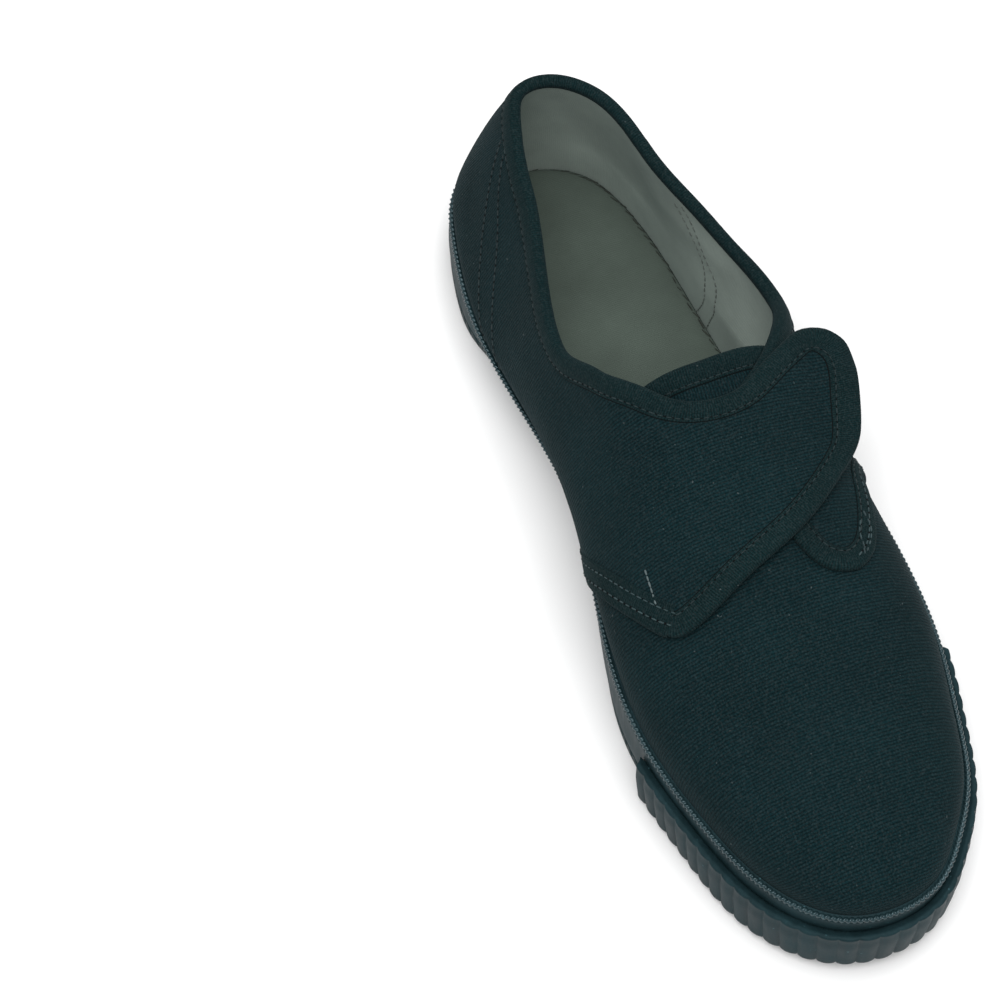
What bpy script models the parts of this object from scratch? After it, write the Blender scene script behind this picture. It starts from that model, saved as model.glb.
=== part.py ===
# A left plimsoll: canvas upper on a rubber sole, closed by a wide strap over the instep.
# Frame: +X to the toe, +Y to the lateral side, +Z up, floor at Z = 0, origin under the middle.

import bmesh
import bpy
import numpy as np

# Driving sizes, in millimetres
MM = 0.001
LAST_LENGTH = 232.3
BALL_WIDTH = 73.6
INSTEP_HEIGHT = 62.5
HEEL_HEIGHT = 55.5
GAP = 0.3
CLOTH_FOOT = 0.7

# Cloth
WALL = 1.5
QUARTER_STEP = 1.0
BINDING_STEP = 1.5
BINDING_WIDTH = 6.0
STRAP_THICK = 2.2
TAB_THICK = 1.2
TONGUE_THICK = 1.5
TONGUE_CLEAR = 1.2

# Rubber
OUTSOLE_THICK = 6.0
INSOLE_THICK = 3.0
FOXING_HEEL = 20.0
FOXING_FRONT = 27.0
FOXING_THICK = 1.6
FOXING_LIP = 0.2
LIP_SHARE = 0.45
BAND_TOP = 1.5
BEAD_HEIGHT = 2.4
BEAD_PROUD = 1.7
BEAD_ROOT = 1.1
BEAD_ROUND = 0.6
BUMPER_FOOT = 0.8
BUMPER_HEIGHT = 19.5
BUMPER_THICK = 2.2
RIB_PITCH = 4.4
RIB_HEIGHT = 0.7
RIB_STEPS = 3
ARCH_RISE = 2.0
TOE_SPRING = 4.0

# How finely the faces are cut: counts, and least distance between two columns (mm)
SOLE_STATIONS = 56
UPPER_STATIONS = 44
UPPER_ROWS = 11
COLUMN_CLEAR = 2.5
STRAP_GRID = (9, 25)
TAB_GRID = (7, 13)
TONGUE_GRID = (9, 15)

# Places along the last, as shares of its length
THROAT = 0.485
FACING_START = 0.350
FACING_STEP = 0.0165
HEEL_CENTRE = 0.138
TOE_CENTRE = 0.850
ARCH_SPAN = (0.30, 0.58)
SPRING_START = 0.80
FOXING_CLIMB = (0.15, 0.65)
BUMPER_MEDIAL = 0.730
BUMPER_LATERAL = 0.735

# Share of its flank up to which a quarter lies on the vamp in front of the throat
QUARTER_ROOT = 0.63

# Plan of the last at the top of the rubber: share of length, then the medial
# and the lateral edge as shares of the ball width
OUTLINE = (
    (0.034, -0.258, 0.226),
    (0.086, -0.329, 0.304),
    (0.194, -0.391, 0.361),
    (0.323, -0.378, 0.397),
    (0.452, -0.378, 0.454),
    (0.560, -0.442, 0.497),
    (0.654, -0.500, 0.508),
    (0.740, -0.505, 0.489),
    (0.827, -0.457, 0.429),
    (0.900, -0.391, 0.356),
    (0.951, -0.307, 0.247),
    (0.986, -0.193, 0.136),
)
HEEL_BACK = (0.0, -0.014)
TOE_TIP = (1.0, -0.031)

# Sections of the last: share of length, ridge offset as a share of the ball
# width, ridge height as a share of the instep height, fullness of the medial
# and lateral flank, and how far each flank swells past its base (mm)
SECTIONS = (
    (0.000, 0.200, 1.360, 0.46, 0.46, 0.5, 0.5),
    (0.015, 0.200, 1.363, 0.32, 0.35, 0.5, 0.5),
    (0.030, 0.200, 1.366, 0.245, 0.28, 0.5, 0.5),
    (0.060, 0.200, 1.372, 0.19, 0.215, 0.5, 0.5),
    (0.100, 0.200, 1.377, 0.155, 0.17, 0.5, 0.5),
    (0.138, 0.200, 1.380, 0.12, 0.15, 0.5, 0.5),
    (0.260, 0.100, 1.420, 0.13, 0.72, 2.0, 5.0),
    (0.344, 0.066, 1.220, 0.32, 0.72, 6.0, 12.0),
    (0.400, 0.062, 1.110, 0.40, 0.66, 7.0, 10.5),
    (0.465, 0.050, 1.000, 0.48, 0.60, 8.5, 7.0),
    (0.560, 0.020, 0.915, 0.56, 0.58, 8.5, 2.0),
    (0.654, 0.000, 0.845, 0.60, 0.60, 3.0, 0.8),
    (0.740, -0.010, 0.790, 0.62, 0.62, 0.8, 0.8),
    (0.850, -0.020, 0.730, 0.62, 0.62, 0.5, 0.5),
    (1.000, -0.020, 0.640, 0.62, 0.62, 0.5, 0.5),
)

# How far the rubber's foot stands in from its top: share of length, medial and
# lateral side (mm); the cloth overhangs it at the waist
UNDERCUT = (
    (0.00, 0.0, 0.0),
    (0.12, 0.0, 0.0),
    (0.16, 1.2, 0.2),
    (0.20, 4.4, 0.6),
    (0.25, 7.4, 1.0),
    (0.33, 8.4, 1.6),
    (0.42, 7.4, 2.0),
    (0.50, 4.6, 1.6),
    (0.58, 2.2, 0.6),
    (0.66, 1.2, 0.0),
    (0.80, 2.2, 0.0),
    (0.90, 1.5, 1.6),
    (1.00, 3.2, 3.2),
)

# Top edge of the upper: share of length at the base, height of the medial and
# of the lateral edge as shares of the heel height
TOPLINE = (
    (0.000, 1.030, 1.030),
    (0.086, 0.990, 0.990),
    (0.194, 0.930, 0.935),
    (0.267, 0.905, 0.900),
    (0.336, 0.925, 0.900),
    (0.365, 0.955, 0.920),
    (0.400, 1.010, 1.010),
    (0.440, 1.065, 1.075),
    (0.485, 1.105, 1.105),
)

# Front seam of each quarter: share of the flank height, then how far the seam
# stands from its own station along the length, medial and lateral (mm)
SEAM_STATION = {"medial": 0.655, "lateral": 0.545}
SEAM_SHIFT = (
    (0.00, -22.0, 4.0),
    (0.25, -10.0, 3.0),
    (0.55, 0.0, 0.0),
    (1.00, 0.0, 0.0),
)

# Strap from its medial root to its free lateral end: place across the last
# (-1 medial base, 0 ridge, +1 lateral base), rear edge and front edge as shares
# of length, lift of its underside off the upper (mm)
STRAP = (
    (-0.52, 0.400, 0.664, 1.8),
    (-0.40, 0.422, 0.666, 1.8),
    (-0.25, 0.448, 0.660, 1.8),
    (-0.08, 0.468, 0.646, 1.9),
    (0.12, 0.472, 0.622, 2.0),
    (0.28, 0.458, 0.604, 2.6),
    (0.42, 0.438, 0.582, 3.6),
    (0.52, 0.4235, 0.553, 6.0),
    (0.555, 0.4255, 0.533, 7.8),
    (0.585, 0.4315, 0.505, 9.2),
    (0.605, 0.438, 0.483, 10.0),
    (0.615, 0.447, 0.470, 10.3),
)

# Lateral tab under the strap: place across, rear and front edge as shares of length
TAB = (
    (0.16, 0.558, 0.615),
    (0.18, 0.558, 0.636),
    (0.23, 0.558, 0.659),
    (0.30, 0.558, 0.671),
    (0.37, 0.558, 0.674),
    (0.44, 0.558, 0.668),
    (0.52, 0.558, 0.650),
    (0.58, 0.558, 0.624),
    (0.61, 0.558, 0.600),
)

# Tongue: place across, rear and front edge as shares of length
TONGUE = (
    (-0.46, 0.440, 0.580),
    (-0.30, 0.434, 0.600),
    (0.00, 0.432, 0.610),
    (0.30, 0.430, 0.600),
    (0.46, 0.430, 0.580),
)


def spline(knots, values, at, loop=False):
    """Cubic spline through values at rising knots, closed or with free ends."""
    knots = np.asarray(knots, float)
    values = np.asarray(values, float).reshape(len(knots), -1)
    count = len(knots)
    step = np.diff(knots)
    rows = np.zeros((count, count))
    right = np.zeros_like(values)
    rise = np.diff(values, axis=0) / step[:, None]
    for i in range(1, count - 1):
        rows[i, i - 1:i + 2] = step[i - 1], 2 * (step[i - 1] + step[i]), step[i]
        right[i] = 6 * (rise[i] - rise[i - 1])
    if loop:
        rows[0, 0], rows[0, -1] = 1, -1
        rows[-1, [0, 1, -2, -1]] = 2 * step[0], step[0], step[-1], 2 * step[-1]
        right[-1] = 6 * (rise[0] - rise[-1])
    else:
        rows[0, 0] = rows[-1, -1] = 1
    bend = np.linalg.solve(rows, right)
    at = np.asarray(at, float)
    cell = np.clip(np.searchsorted(knots, at, side="right") - 1, 0, count - 2)
    width = step[cell][:, None]
    near = ((knots[cell + 1] - at)[:, None]) / width
    far = 1 - near
    curve = (near ** 3 - near) * bend[cell] + (far ** 3 - far) * bend[cell + 1]
    return near * values[cell] + far * values[cell + 1] + curve * width ** 2 / 6


def column(table, index, at):
    """One column of a table, read smoothly at shares of the length."""
    rows = np.array(table)
    at = np.asarray(at, float)
    inside = np.clip(at.ravel(), rows[0, 0], rows[-1, 0])
    return spline(rows[:, 0], rows[:, index], inside)[:, 0].reshape(at.shape)


def last_outline(samples=1600):
    """The closed plan curve of the last with its outward normals (mm)."""
    rows = np.array(OUTLINE)
    lateral = rows[:, [0, 2]]
    medial = rows[::-1, [0, 1]]
    points = np.vstack([[HEEL_BACK], lateral, [TOE_TIP], medial, [HEEL_BACK]])
    points = points * (LAST_LENGTH, BALL_WIDTH)
    chord = np.r_[0, np.cumsum(np.linalg.norm(np.diff(points, axis=0), axis=1))]
    curve = spline(chord, points, np.linspace(0, chord[-1], samples + 1), loop=True)[:-1]
    along = np.roll(curve, -1, 0) - np.roll(curve, 1, 0)
    along /= np.linalg.norm(along, axis=1)[:, None]
    return curve, np.stack([along[:, 1], -along[:, 0]], 1) * -1


CURVE, NORMAL = last_outline()
HEEL_AT = int(np.argmin(CURVE[:, 0]))
CURVE, NORMAL = np.roll(CURVE, -HEEL_AT, 0), np.roll(NORMAL, -HEEL_AT, 0)
TOE_AT = int(np.argmax(CURVE[:, 0]))
BACK_X, TIP_X = CURVE[0, 0], CURVE[TOE_AT, 0]
SIDES = {
    "lateral": (CURVE[:TOE_AT + 1], NORMAL[:TOE_AT + 1]),
    "medial": (np.vstack([CURVE[:1], CURVE[:TOE_AT - 1:-1]]),
               np.vstack([NORMAL[:1], NORMAL[:TOE_AT - 1:-1]])),
}


def edge_at(side, x):
    """Plan point and outward normal of one side of the last at length x."""
    curve, normal = SIDES[side]
    x = np.asarray(x, float)
    point = np.stack([np.interp(x, curve[:, 0], curve[:, i]) for i in (0, 1)], -1)
    out = np.stack([np.interp(x, curve[:, 0], normal[:, i]) for i in (0, 1)], -1)
    return point, out / np.linalg.norm(out, axis=-1, keepdims=True)


def ease(x):
    """Smooth ramp from 0 to 1."""
    x = np.clip(x, 0, 1)
    return x * x * (3 - 2 * x)


def sole_rise(x):
    """Height of the sole's underside: flat heel and ball, arch and toe spring."""
    share = np.asarray(x, float) / LAST_LENGTH
    arch = np.clip((share - ARCH_SPAN[0]) / (ARCH_SPAN[1] - ARCH_SPAN[0]), 0, 1)
    spring = np.clip((share - SPRING_START) / (1 - SPRING_START), 0, None)
    return ARCH_RISE * np.sin(np.pi * arch) ** 2 + TOE_SPRING * spring ** 2


def foxing_top(x):
    """Height of the top of the rubber band above the floor."""
    share = np.asarray(x, float) / LAST_LENGTH
    climb_share = (share - FOXING_CLIMB[0]) / (FOXING_CLIMB[1] - FOXING_CLIMB[0])
    return sole_rise(x) + FOXING_HEEL + (FOXING_FRONT - FOXING_HEEL) * ease(climb_share)


def undercut(side, x, height):
    """How far the rubber stands in from the last's edge at a height above the sole line."""
    x = np.asarray(x, float)
    foot = column(UNDERCUT, 1 if side == "medial" else 2, x / LAST_LENGTH)
    return foot * (1 - height / (foxing_top(x) - sole_rise(x)))


def flank(side, x, t):
    """Point on the upper's outer face: t runs from 0 at the rubber to 1 at the ridge."""
    x, t = np.broadcast_arrays(np.asarray(x, float), np.asarray(t, float))
    base = edge_at(side, x)[0]
    station = np.clip(x / LAST_LENGTH, HEEL_CENTRE, TOE_CENTRE)
    share = x / LAST_LENGTH
    ridge = np.stack([station * LAST_LENGTH, column(SECTIONS, 1, station) * BALL_WIDTH], -1)
    top = column(SECTIONS, 2, station) * INSTEP_HEIGHT
    little = 0.01
    slope = (column(SECTIONS, 2, station + little) - column(SECTIONS, 2, station - little))
    slope = slope * INSTEP_HEIGHT / (2 * little * LAST_LENGTH)
    full = column(SECTIONS, 3 if side == "medial" else 4, share)
    swell = column(SECTIONS, 5 if side == "medial" else 6, share)
    run = ridge - base
    foot = foxing_top(x) + CLOTH_FOOT
    rise = top - foot
    width = np.linalg.norm(run, axis=-1)
    in_toe = share > TOE_CENTRE
    dip = np.where(in_toe, -slope * run[..., 0] * full, 0)
    across = (0 * t, -swell / width, 1 - full, 1 + 0 * t)
    height = (foot, foot + full * rise, top + dip, top)
    weight = ((1 - t) ** 3, 3 * t * (1 - t) ** 2, 3 * t * t * (1 - t), t ** 3)
    reach = sum(w * a for w, a in zip(weight, across))
    z = sum(w * h for w, h in zip(weight, height))
    plan = base + run * reach[..., None]
    return np.concatenate([plan, z[..., None]], -1)


def top_share(side, x):
    """How far up its flank the upper reaches at length x."""
    share = np.asarray(x, float) / LAST_LENGTH
    index = 1 if side == "medial" else 2
    goal = column(TOPLINE, index, share) * HEEL_HEIGHT
    steps = np.linspace(0, 1, 201)
    heights = flank(side, np.asarray(x, float)[:, None], steps[None, :])[..., 2]
    reach = np.array([np.interp(g, np.maximum.accumulate(h), steps) for g, h in zip(goal, heights)])
    return np.where(share >= THROAT - 1e-6, 1.0, reach)


class Solid:
    """Vertices (mm) welded as they come in, and faces."""

    def __init__(self, name, colour, roughness):
        self.name, self.colour, self.roughness = name, colour, roughness
        self.points, self.faces, self.index = [], [], {}

    def vertex(self, point):
        key = tuple(np.round(point, 3))
        if key not in self.index:
            self.index[key] = len(self.points)
            self.points.append(np.asarray(point, float))
        return self.index[key]

    def face(self, *corners):
        ring = []
        for corner in corners:
            number = self.vertex(corner)
            if number not in ring:
                ring.append(number)
        if len(ring) > 2:
            self.faces.append(ring)

    def grid(self, points, flip=False):
        for i in range(len(points) - 1):
            for j in range(len(points[0]) - 1):
                ring = [points[i][j], points[i + 1][j], points[i + 1][j + 1], points[i][j + 1]]
                self.face(*(ring[::-1] if flip else ring))


def sheet(name, points, normals, under, thick, colour, roughness):
    """A closed sheet of cloth standing 'under' above a grid of points."""
    solid = Solid(name, colour, roughness)
    low = points + normals * np.asarray(under)[..., None]
    high = points + normals * np.asarray(under + thick)[..., None]
    solid.grid(high)
    solid.grid(low, flip=True)
    for a, b in ((high[0], low[0]), (low[-1], high[-1])):
        solid.grid(np.stack([a, b]), flip=True)
    for a, b in ((low[:, 0], high[:, 0]), (high[:, -1], low[:, -1])):
        solid.grid(np.stack([a, b]), flip=True)
    return solid


def across_point(x, place):
    """Point of the last at length x and place -1 (medial base) to +1 (lateral base)."""
    t = 1 - np.abs(place)
    lateral = flank("lateral", x, t)
    medial = flank("medial", x, t)
    return np.where((np.asarray(place) >= 0)[..., None], lateral, medial)


def patch(table, rows, columns):
    """Grid over a table of place, rear edge, front edge: points, normals, places."""
    names = np.array(table)
    chord = np.r_[0, np.cumsum(np.hypot(np.diff(names[:, 0]) * BALL_WIDTH / 2,
                                        np.diff(names[:, 1]) * LAST_LENGTH))]
    even = spline(chord, names, np.linspace(0, chord[-1], columns))
    part = np.linspace(0, 1, rows)[None, :]
    x = (even[:, 1:2] * (1 - part) + even[:, 2:3] * part) * LAST_LENGTH
    place = np.repeat(even[:, :1], rows, axis=1)
    little = 0.2
    points = across_point(x, place)
    along = across_point(x + little, place) - across_point(x - little, place)
    small = 0.004
    over = across_point(x, place + small) - across_point(x, place - small)
    normal = np.cross(along, over)
    return points, normal / np.linalg.norm(normal, axis=-1, keepdims=True), even


CANVAS = (0.010, 0.018, 0.022, 1.0)
CANVAS_ROUGH = 0.9
RUBBER = (0.028, 0.038, 0.042, 1.0)
RUBBER_ROUGH = 0.5
LINING = (0.30, 0.31, 0.28, 1.0)
LINING_ROUGH = 0.9


def end_to_end(count):
    """Lengths from heel to toe, close together at both ends."""
    return BACK_X + (TIP_X - BACK_X) * (1 - np.cos(np.linspace(0, np.pi, count + 1))) / 2


def stations():
    """Lengths of the upper's columns, with the throat, the seams and the toe's centre among them."""
    wanted = [THROAT, *SEAM_STATION.values(), TOE_CENTRE]
    wanted = np.r_[wanted, np.arange(FACING_START, THROAT - FACING_STEP / 2, FACING_STEP)] * LAST_LENGTH
    even = end_to_end(UPPER_STATIONS)
    clear = np.abs(even[:, None] - wanted[None, :]).min(1) > COLUMN_CLEAR
    return np.sort(np.r_[even[clear], wanted])


def side_grid(side, rows=UPPER_ROWS):
    """Outer face of one side: points by column and row, and the level of each cell."""
    x = stations()
    seam = int(np.argmin(np.abs(x - SEAM_STATION[side] * LAST_LENGTH)))
    reach = top_share(side, x)
    fine = np.linspace(0, 1, 60)
    path = flank(side, x[:, None], fine[None, :] * reach[:, None])
    arc = np.linalg.norm(np.diff(path, axis=1), axis=2).sum(1)
    band = 1 - BINDING_WIDTH / arc
    part = np.concatenate([np.linspace(0, 1, rows)[None, :] * band[:, None], np.ones((len(x), 1))], 1)
    shifts = np.array(SEAM_SHIFT)
    shift = np.interp(part, shifts[:, 0], shifts[:, 1 if side == "medial" else 2])
    low, high = THROAT * LAST_LENGTH, TOE_CENTRE * LAST_LENGTH
    hat = np.interp(x, [low, x[seam], high], [0, 1, 0])
    lengths = x[:, None] + shift * hat[:, None]
    points = flank(side, lengths, part * reach[:, None])
    behind = np.arange(len(x) - 1) < seam
    open_top = x[1:] <= THROAT * LAST_LENGTH + 1e-6
    level = np.zeros((len(x) - 1, rows))
    for c in range(len(x) - 1):
        for r in range(rows):
            if open_top[c]:
                level[c, r] = BINDING_STEP if r == rows - 1 else QUARTER_STEP
            elif behind[c] and part[c, r + 1] <= QUARTER_ROOT:
                level[c, r] = QUARTER_STEP
    return points, level, open_top


def welded_normals(grids):
    """Normals of the two sides together, summed over every face that shares a point."""
    total = {}
    for side, points in grids.items():
        turn = -1 if side == "lateral" else 1
        for i in range(points.shape[0] - 1):
            for j in range(points.shape[1] - 1):
                ring = [points[i, j], points[i + 1, j], points[i + 1, j + 1], points[i, j + 1]]
                face = np.cross(ring[2] - ring[0], ring[3] - ring[1]) * turn
                for corner in ring:
                    key = tuple(np.round(corner, 3))
                    total[key] = total.get(key, 0) + face
    result = {}
    for side, points in grids.items():
        flat = np.array([total[tuple(np.round(p, 3))] for p in points.reshape(-1, 3)])
        flat /= np.linalg.norm(flat, axis=1)[:, None]
        result[side] = flat.reshape(points.shape)
    return result


def climb(low, high):
    """The single steps of the wall between two of its levels."""
    levels = [0.0, QUARTER_STEP, BINDING_STEP]
    a, b = levels.index(low), levels.index(high)
    walk = levels[a:b + 1] if a <= b else levels[b:a + 1][::-1]
    return list(zip(walk, walk[1:]))


def upper():
    """Hollow canvas upper: vamp, quarters and bound edge as steps of one wall."""
    solid = Solid("upper", CANVAS, CANVAS_ROUGH)
    built = {side: side_grid(side) for side in ("lateral", "medial")}
    normals = welded_normals({side: built[side][0] for side in built})
    foot = OUTSOLE_THICK + GAP
    for side, (points, level, open_top) in built.items():
        flip = side == "medial"
        normal = normals[side]
        inner = points - normal * WALL
        edge, out = edge_at(side, points[:, 0, 0])
        ground = sole_rise(edge[:, 0]) + foot
        low_edge = edge - out * undercut(side, edge[:, 0], foot)[:, None]
        hem = np.column_stack([low_edge, ground])
        hem_in = np.column_stack([low_edge - out * WALL, ground])
        columns, rows = level.shape

        def add(*ring):
            solid.face(*(ring[::-1] if flip else ring))

        def lifted(c, r, height):
            return points[c, r] + normal[c, r] * height

        for c in range(columns):
            add(hem[c], hem[c + 1], points[c + 1, 0], points[c, 0])
            add(inner[c, 0], inner[c + 1, 0], hem_in[c + 1], hem_in[c])
            add(hem_in[c], hem_in[c + 1], hem[c + 1], hem[c])
            if level[c, 0]:
                h = level[c, 0]
                add(points[c, 0], points[c + 1, 0], lifted(c + 1, 0, h), lifted(c, 0, h))
            for r in range(rows):
                h = level[c, r]
                add(lifted(c, r, h), lifted(c + 1, r, h), lifted(c + 1, r + 1, h), lifted(c, r + 1, h))
                add(inner[c, r + 1], inner[c + 1, r + 1], inner[c + 1, r], inner[c, r])
                if r + 1 < rows:
                    for a, b in climb(h, level[c, r + 1]):
                        add(lifted(c, r + 1, a), lifted(c + 1, r + 1, a),
                            lifted(c + 1, r + 1, b), lifted(c, r + 1, b))
                if c + 1 < columns:
                    for a, b in climb(h, level[c + 1, r]):
                        add(lifted(c + 1, r, a), lifted(c + 1, r, b),
                            lifted(c + 1, r + 1, b), lifted(c + 1, r + 1, a))
            if open_top[c]:
                h = level[c, rows - 1]
                add(lifted(c, rows, h), lifted(c + 1, rows, h), inner[c + 1, rows], inner[c, rows])
    return solid


def rubber_loop(offset, height, count=SOLE_STATIONS):
    """Points once round the rubber, lateral to the toe and medial back, at heights above the sole line."""
    x = end_to_end(count)
    rows = []
    for side, places in (("lateral", x), ("medial", x[-2:0:-1])):
        edge, out = edge_at(side, places)
        above = np.broadcast_to(height(places), places.shape)
        away = offset - undercut(side, places, above)
        rows.append(np.column_stack([edge + out * away[:, None], sole_rise(places) + above]))
    return np.vstack(rows)


def swept_ring(name, profile, colour, roughness):
    """A closed band round the last; the profile gives offsets and heights above the sole line."""
    solid = Solid(name, colour, roughness)
    rings = [rubber_loop(offset, height) for offset, height in profile]
    rings.append(rings[0])
    for low, high in zip(rings, rings[1:]):
        band = np.stack([low, high])
        solid.grid(np.concatenate([band, band[:, :1]], 1).transpose(1, 0, 2))
    return solid


def slab(name, offset, low, high, colour, roughness):
    """A plate with the last's outline moved out by offset, between two heights above the sole line."""
    solid = Solid(name, colour, roughness)
    x = end_to_end(SOLE_STATIONS)
    deep, tall = [], []
    for side in ("medial", "lateral"):
        edge, out = edge_at(side, x)
        for height, rows in ((low, deep), (high, tall)):
            away = offset - undercut(side, x, height)
            rows.append(np.column_stack([edge + out * away[:, None], sole_rise(x) + height]))
    solid.grid(np.stack([tall[0], tall[1]]), flip=True)
    solid.grid(np.stack([deep[0], deep[1]]))
    solid.grid(np.stack([deep[1], tall[1]]), flip=True)
    solid.grid(np.stack([tall[0], deep[0]]), flip=True)
    return solid


def foxing():
    """Rubber band round the sole: knurled bead line on top, slanted face below."""
    foot = OUTSOLE_THICK + GAP

    def band_height(x):
        return foxing_top(x) - sole_rise(x)

    profile = (
        (GAP, lambda x: foot),
        (FOXING_THICK, lambda x: foot),
        (FOXING_THICK + FOXING_LIP, lambda x: foot + LIP_SHARE * (band_height(x) - foot)),
        (BAND_TOP, lambda x: band_height(x) - BEAD_HEIGHT - BEAD_ROUND),
        (BEAD_ROOT, lambda x: band_height(x) - BEAD_HEIGHT),
        (BEAD_PROUD, lambda x: band_height(x) - BEAD_HEIGHT + BEAD_ROUND),
        (BEAD_PROUD, lambda x: band_height(x) - BEAD_ROUND),
        (BEAD_ROOT, band_height),
        (GAP, band_height),
    )
    return swept_ring("foxing", profile, RUBBER, RUBBER_ROUGH)


def toe_bumper():
    """Ribbed rubber bumper round the toe, outside the band."""
    solid = Solid("toe_bumper", RUBBER, RUBBER_ROUGH)
    start = int(np.argmin(np.abs(SIDES["lateral"][0][:, 0] - BUMPER_LATERAL * LAST_LENGTH)))
    back = SIDES["medial"][0]
    stop = len(CURVE) - int(np.argmin(np.abs(back[:, 0] - BUMPER_MEDIAL * LAST_LENGTH)))
    plan, out = CURVE[start:stop], NORMAL[start:stop]
    arc = np.r_[0, np.cumsum(np.linalg.norm(np.diff(plan, axis=0), axis=1))]
    ribs = int(round(arc[-1] / RIB_PITCH))
    at = np.linspace(0, arc[-1], ribs * RIB_STEPS + 1)
    medial = at > arc[TOE_AT - start]
    plan = np.stack([np.interp(at, arc, plan[:, i]) for i in (0, 1)], 1)
    out = np.stack([np.interp(at, arc, out[:, i]) for i in (0, 1)], 1)
    phase = np.arange(len(at)) / RIB_STEPS * np.pi
    rib = RIB_HEIGHT * np.abs(np.sin(phase))
    ground = sole_rise(plan[:, 0])
    inside = FOXING_THICK + FOXING_LIP + GAP
    face = inside + BUMPER_THICK
    foot, top = BUMPER_FOOT, BUMPER_HEIGHT
    # Offset from the last and height above the sole line, once round the section
    rows = (
        (inside + 0 * rib, foot),
        (face - 0.4 + rib, foot),
        (face + rib, foot + 2.0),
        (face + 0.9 * rib, top - 4.0),
        (face - 0.3 + 0.5 * rib, top - 1.2),
        (face - 0.9 + 0 * rib, top),
        (inside + 0 * rib, top),
    )
    rings = []
    for offset, z in rows:
        inward = [undercut(side, plan[:, 0], z) for side in ("medial", "lateral")]
        away = offset - np.where(medial, *inward)
        rings.append(np.column_stack([plan + out * away[:, None], ground + z]))
    rings.append(rings[0])
    for low, high in zip(rings, rings[1:]):
        solid.grid(np.stack([low, high], 1))
    solid.face(*[ring[0] for ring in rings[:-1]])
    solid.face(*[ring[-1] for ring in rings[:-1]][::-1])
    return solid


def strap():
    """Wide instep strap with a rounded free end standing off the lateral side."""
    points, normals, even = patch(STRAP, *STRAP_GRID)
    lift = np.repeat(even[:, 3:4], points.shape[1], axis=1)
    return sheet("strap", points, normals, lift, STRAP_THICK, CANVAS, CANVAS_ROUGH)


def tab():
    """End of the lateral quarter lying on the vamp in front of the strap."""
    points, normals, _ = patch(TAB, *TAB_GRID)
    lift = np.full(points.shape[:2], GAP)
    return sheet("tab", points, normals, lift, TAB_THICK, CANVAS, CANVAS_ROUGH)


def tongue():
    """Tongue under the throat, showing behind the strap."""
    points, normals, _ = patch(TONGUE, *TONGUE_GRID)
    lift = np.full(points.shape[:2], -WALL - TONGUE_CLEAR - TONGUE_THICK)
    return sheet("tongue", points, normals, lift, TONGUE_THICK, CANVAS, CANVAS_ROUGH)


def outsole():
    """Rubber outsole with arch and toe spring."""
    return slab("outsole", FOXING_THICK, 0.0, OUTSOLE_THICK, RUBBER, RUBBER_ROUGH)


def insole():
    """Cloth-covered insole lying on the outsole inside the upper."""
    low = OUTSOLE_THICK + GAP
    return slab("insole", -WALL - GAP, low, low + INSOLE_THICK, LINING, LINING_ROUGH)


def make_object(solid, centre):
    """One named Blender object, in metres, with its own material."""
    points = (np.array(solid.points) - centre) * MM
    mesh = bpy.data.meshes.new(solid.name)
    mesh.from_pydata(points.tolist(), [], solid.faces)
    shape = bmesh.new()
    shape.from_mesh(mesh)
    bmesh.ops.recalc_face_normals(shape, faces=shape.faces)
    shape.to_mesh(mesh)
    shape.free()
    thing = bpy.data.objects.new(solid.name, mesh)
    bpy.context.scene.collection.objects.link(thing)
    material = bpy.data.materials.new(solid.name + "_material")
    material.use_nodes = True
    shader = material.node_tree.nodes["Principled BSDF"]
    shader.inputs["Base Color"].default_value = solid.colour
    shader.inputs["Roughness"].default_value = solid.roughness
    mesh.materials.append(material)


def main():
    for old in list(bpy.data.objects):
        bpy.data.objects.remove(old, do_unlink=True)
    solids = [outsole(), foxing(), toe_bumper(), insole(), upper(), tongue(), tab(), strap()]
    every = np.vstack([np.array(solid.points) for solid in solids])
    low, high = every.min(0), every.max(0)
    centre = np.array([(low[0] + high[0]) / 2, (low[1] + high[1]) / 2, low[2]])
    for solid in solids:
        make_object(solid, centre)


main()
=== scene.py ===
# A left plimsoll dressed over its CAD frame: canvas, binding tape, stitching, lining and rubber.
# Shapes are worked out in millimetres from the heel's back (+x toe, +y lateral, +z up), as in the CAD.

import bmesh
import bpy
import numpy as np
from mathutils import Matrix


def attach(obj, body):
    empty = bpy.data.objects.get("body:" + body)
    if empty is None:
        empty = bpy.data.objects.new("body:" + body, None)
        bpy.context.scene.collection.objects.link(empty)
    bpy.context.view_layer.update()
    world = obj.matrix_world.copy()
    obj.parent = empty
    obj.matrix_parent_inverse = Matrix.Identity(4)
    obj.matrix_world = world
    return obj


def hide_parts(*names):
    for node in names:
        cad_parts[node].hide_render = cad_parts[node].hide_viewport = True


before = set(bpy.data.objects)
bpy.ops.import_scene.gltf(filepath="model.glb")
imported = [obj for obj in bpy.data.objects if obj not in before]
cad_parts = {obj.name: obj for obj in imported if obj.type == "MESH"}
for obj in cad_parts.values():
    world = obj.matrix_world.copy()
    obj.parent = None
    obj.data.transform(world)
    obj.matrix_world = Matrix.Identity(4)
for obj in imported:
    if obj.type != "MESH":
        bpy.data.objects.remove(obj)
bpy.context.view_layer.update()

# Driving sizes of the last and the sole, in millimetres
MM = 0.001
CENTRE = np.array([116.9730, 0.7238, 0.0])
LAST_LENGTH = 232.3
BALL_WIDTH = 73.6
INSTEP_HEIGHT = 62.5
HEEL_HEIGHT = 55.5
GAP = 0.3
CLOTH_FOOT = 0.7
WALL = 1.5
QUARTER_STEP = 1.0
STRAP_THICK = 2.2
TAB_STEP = 1.5
TONGUE_DEPTH = 2.7
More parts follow.
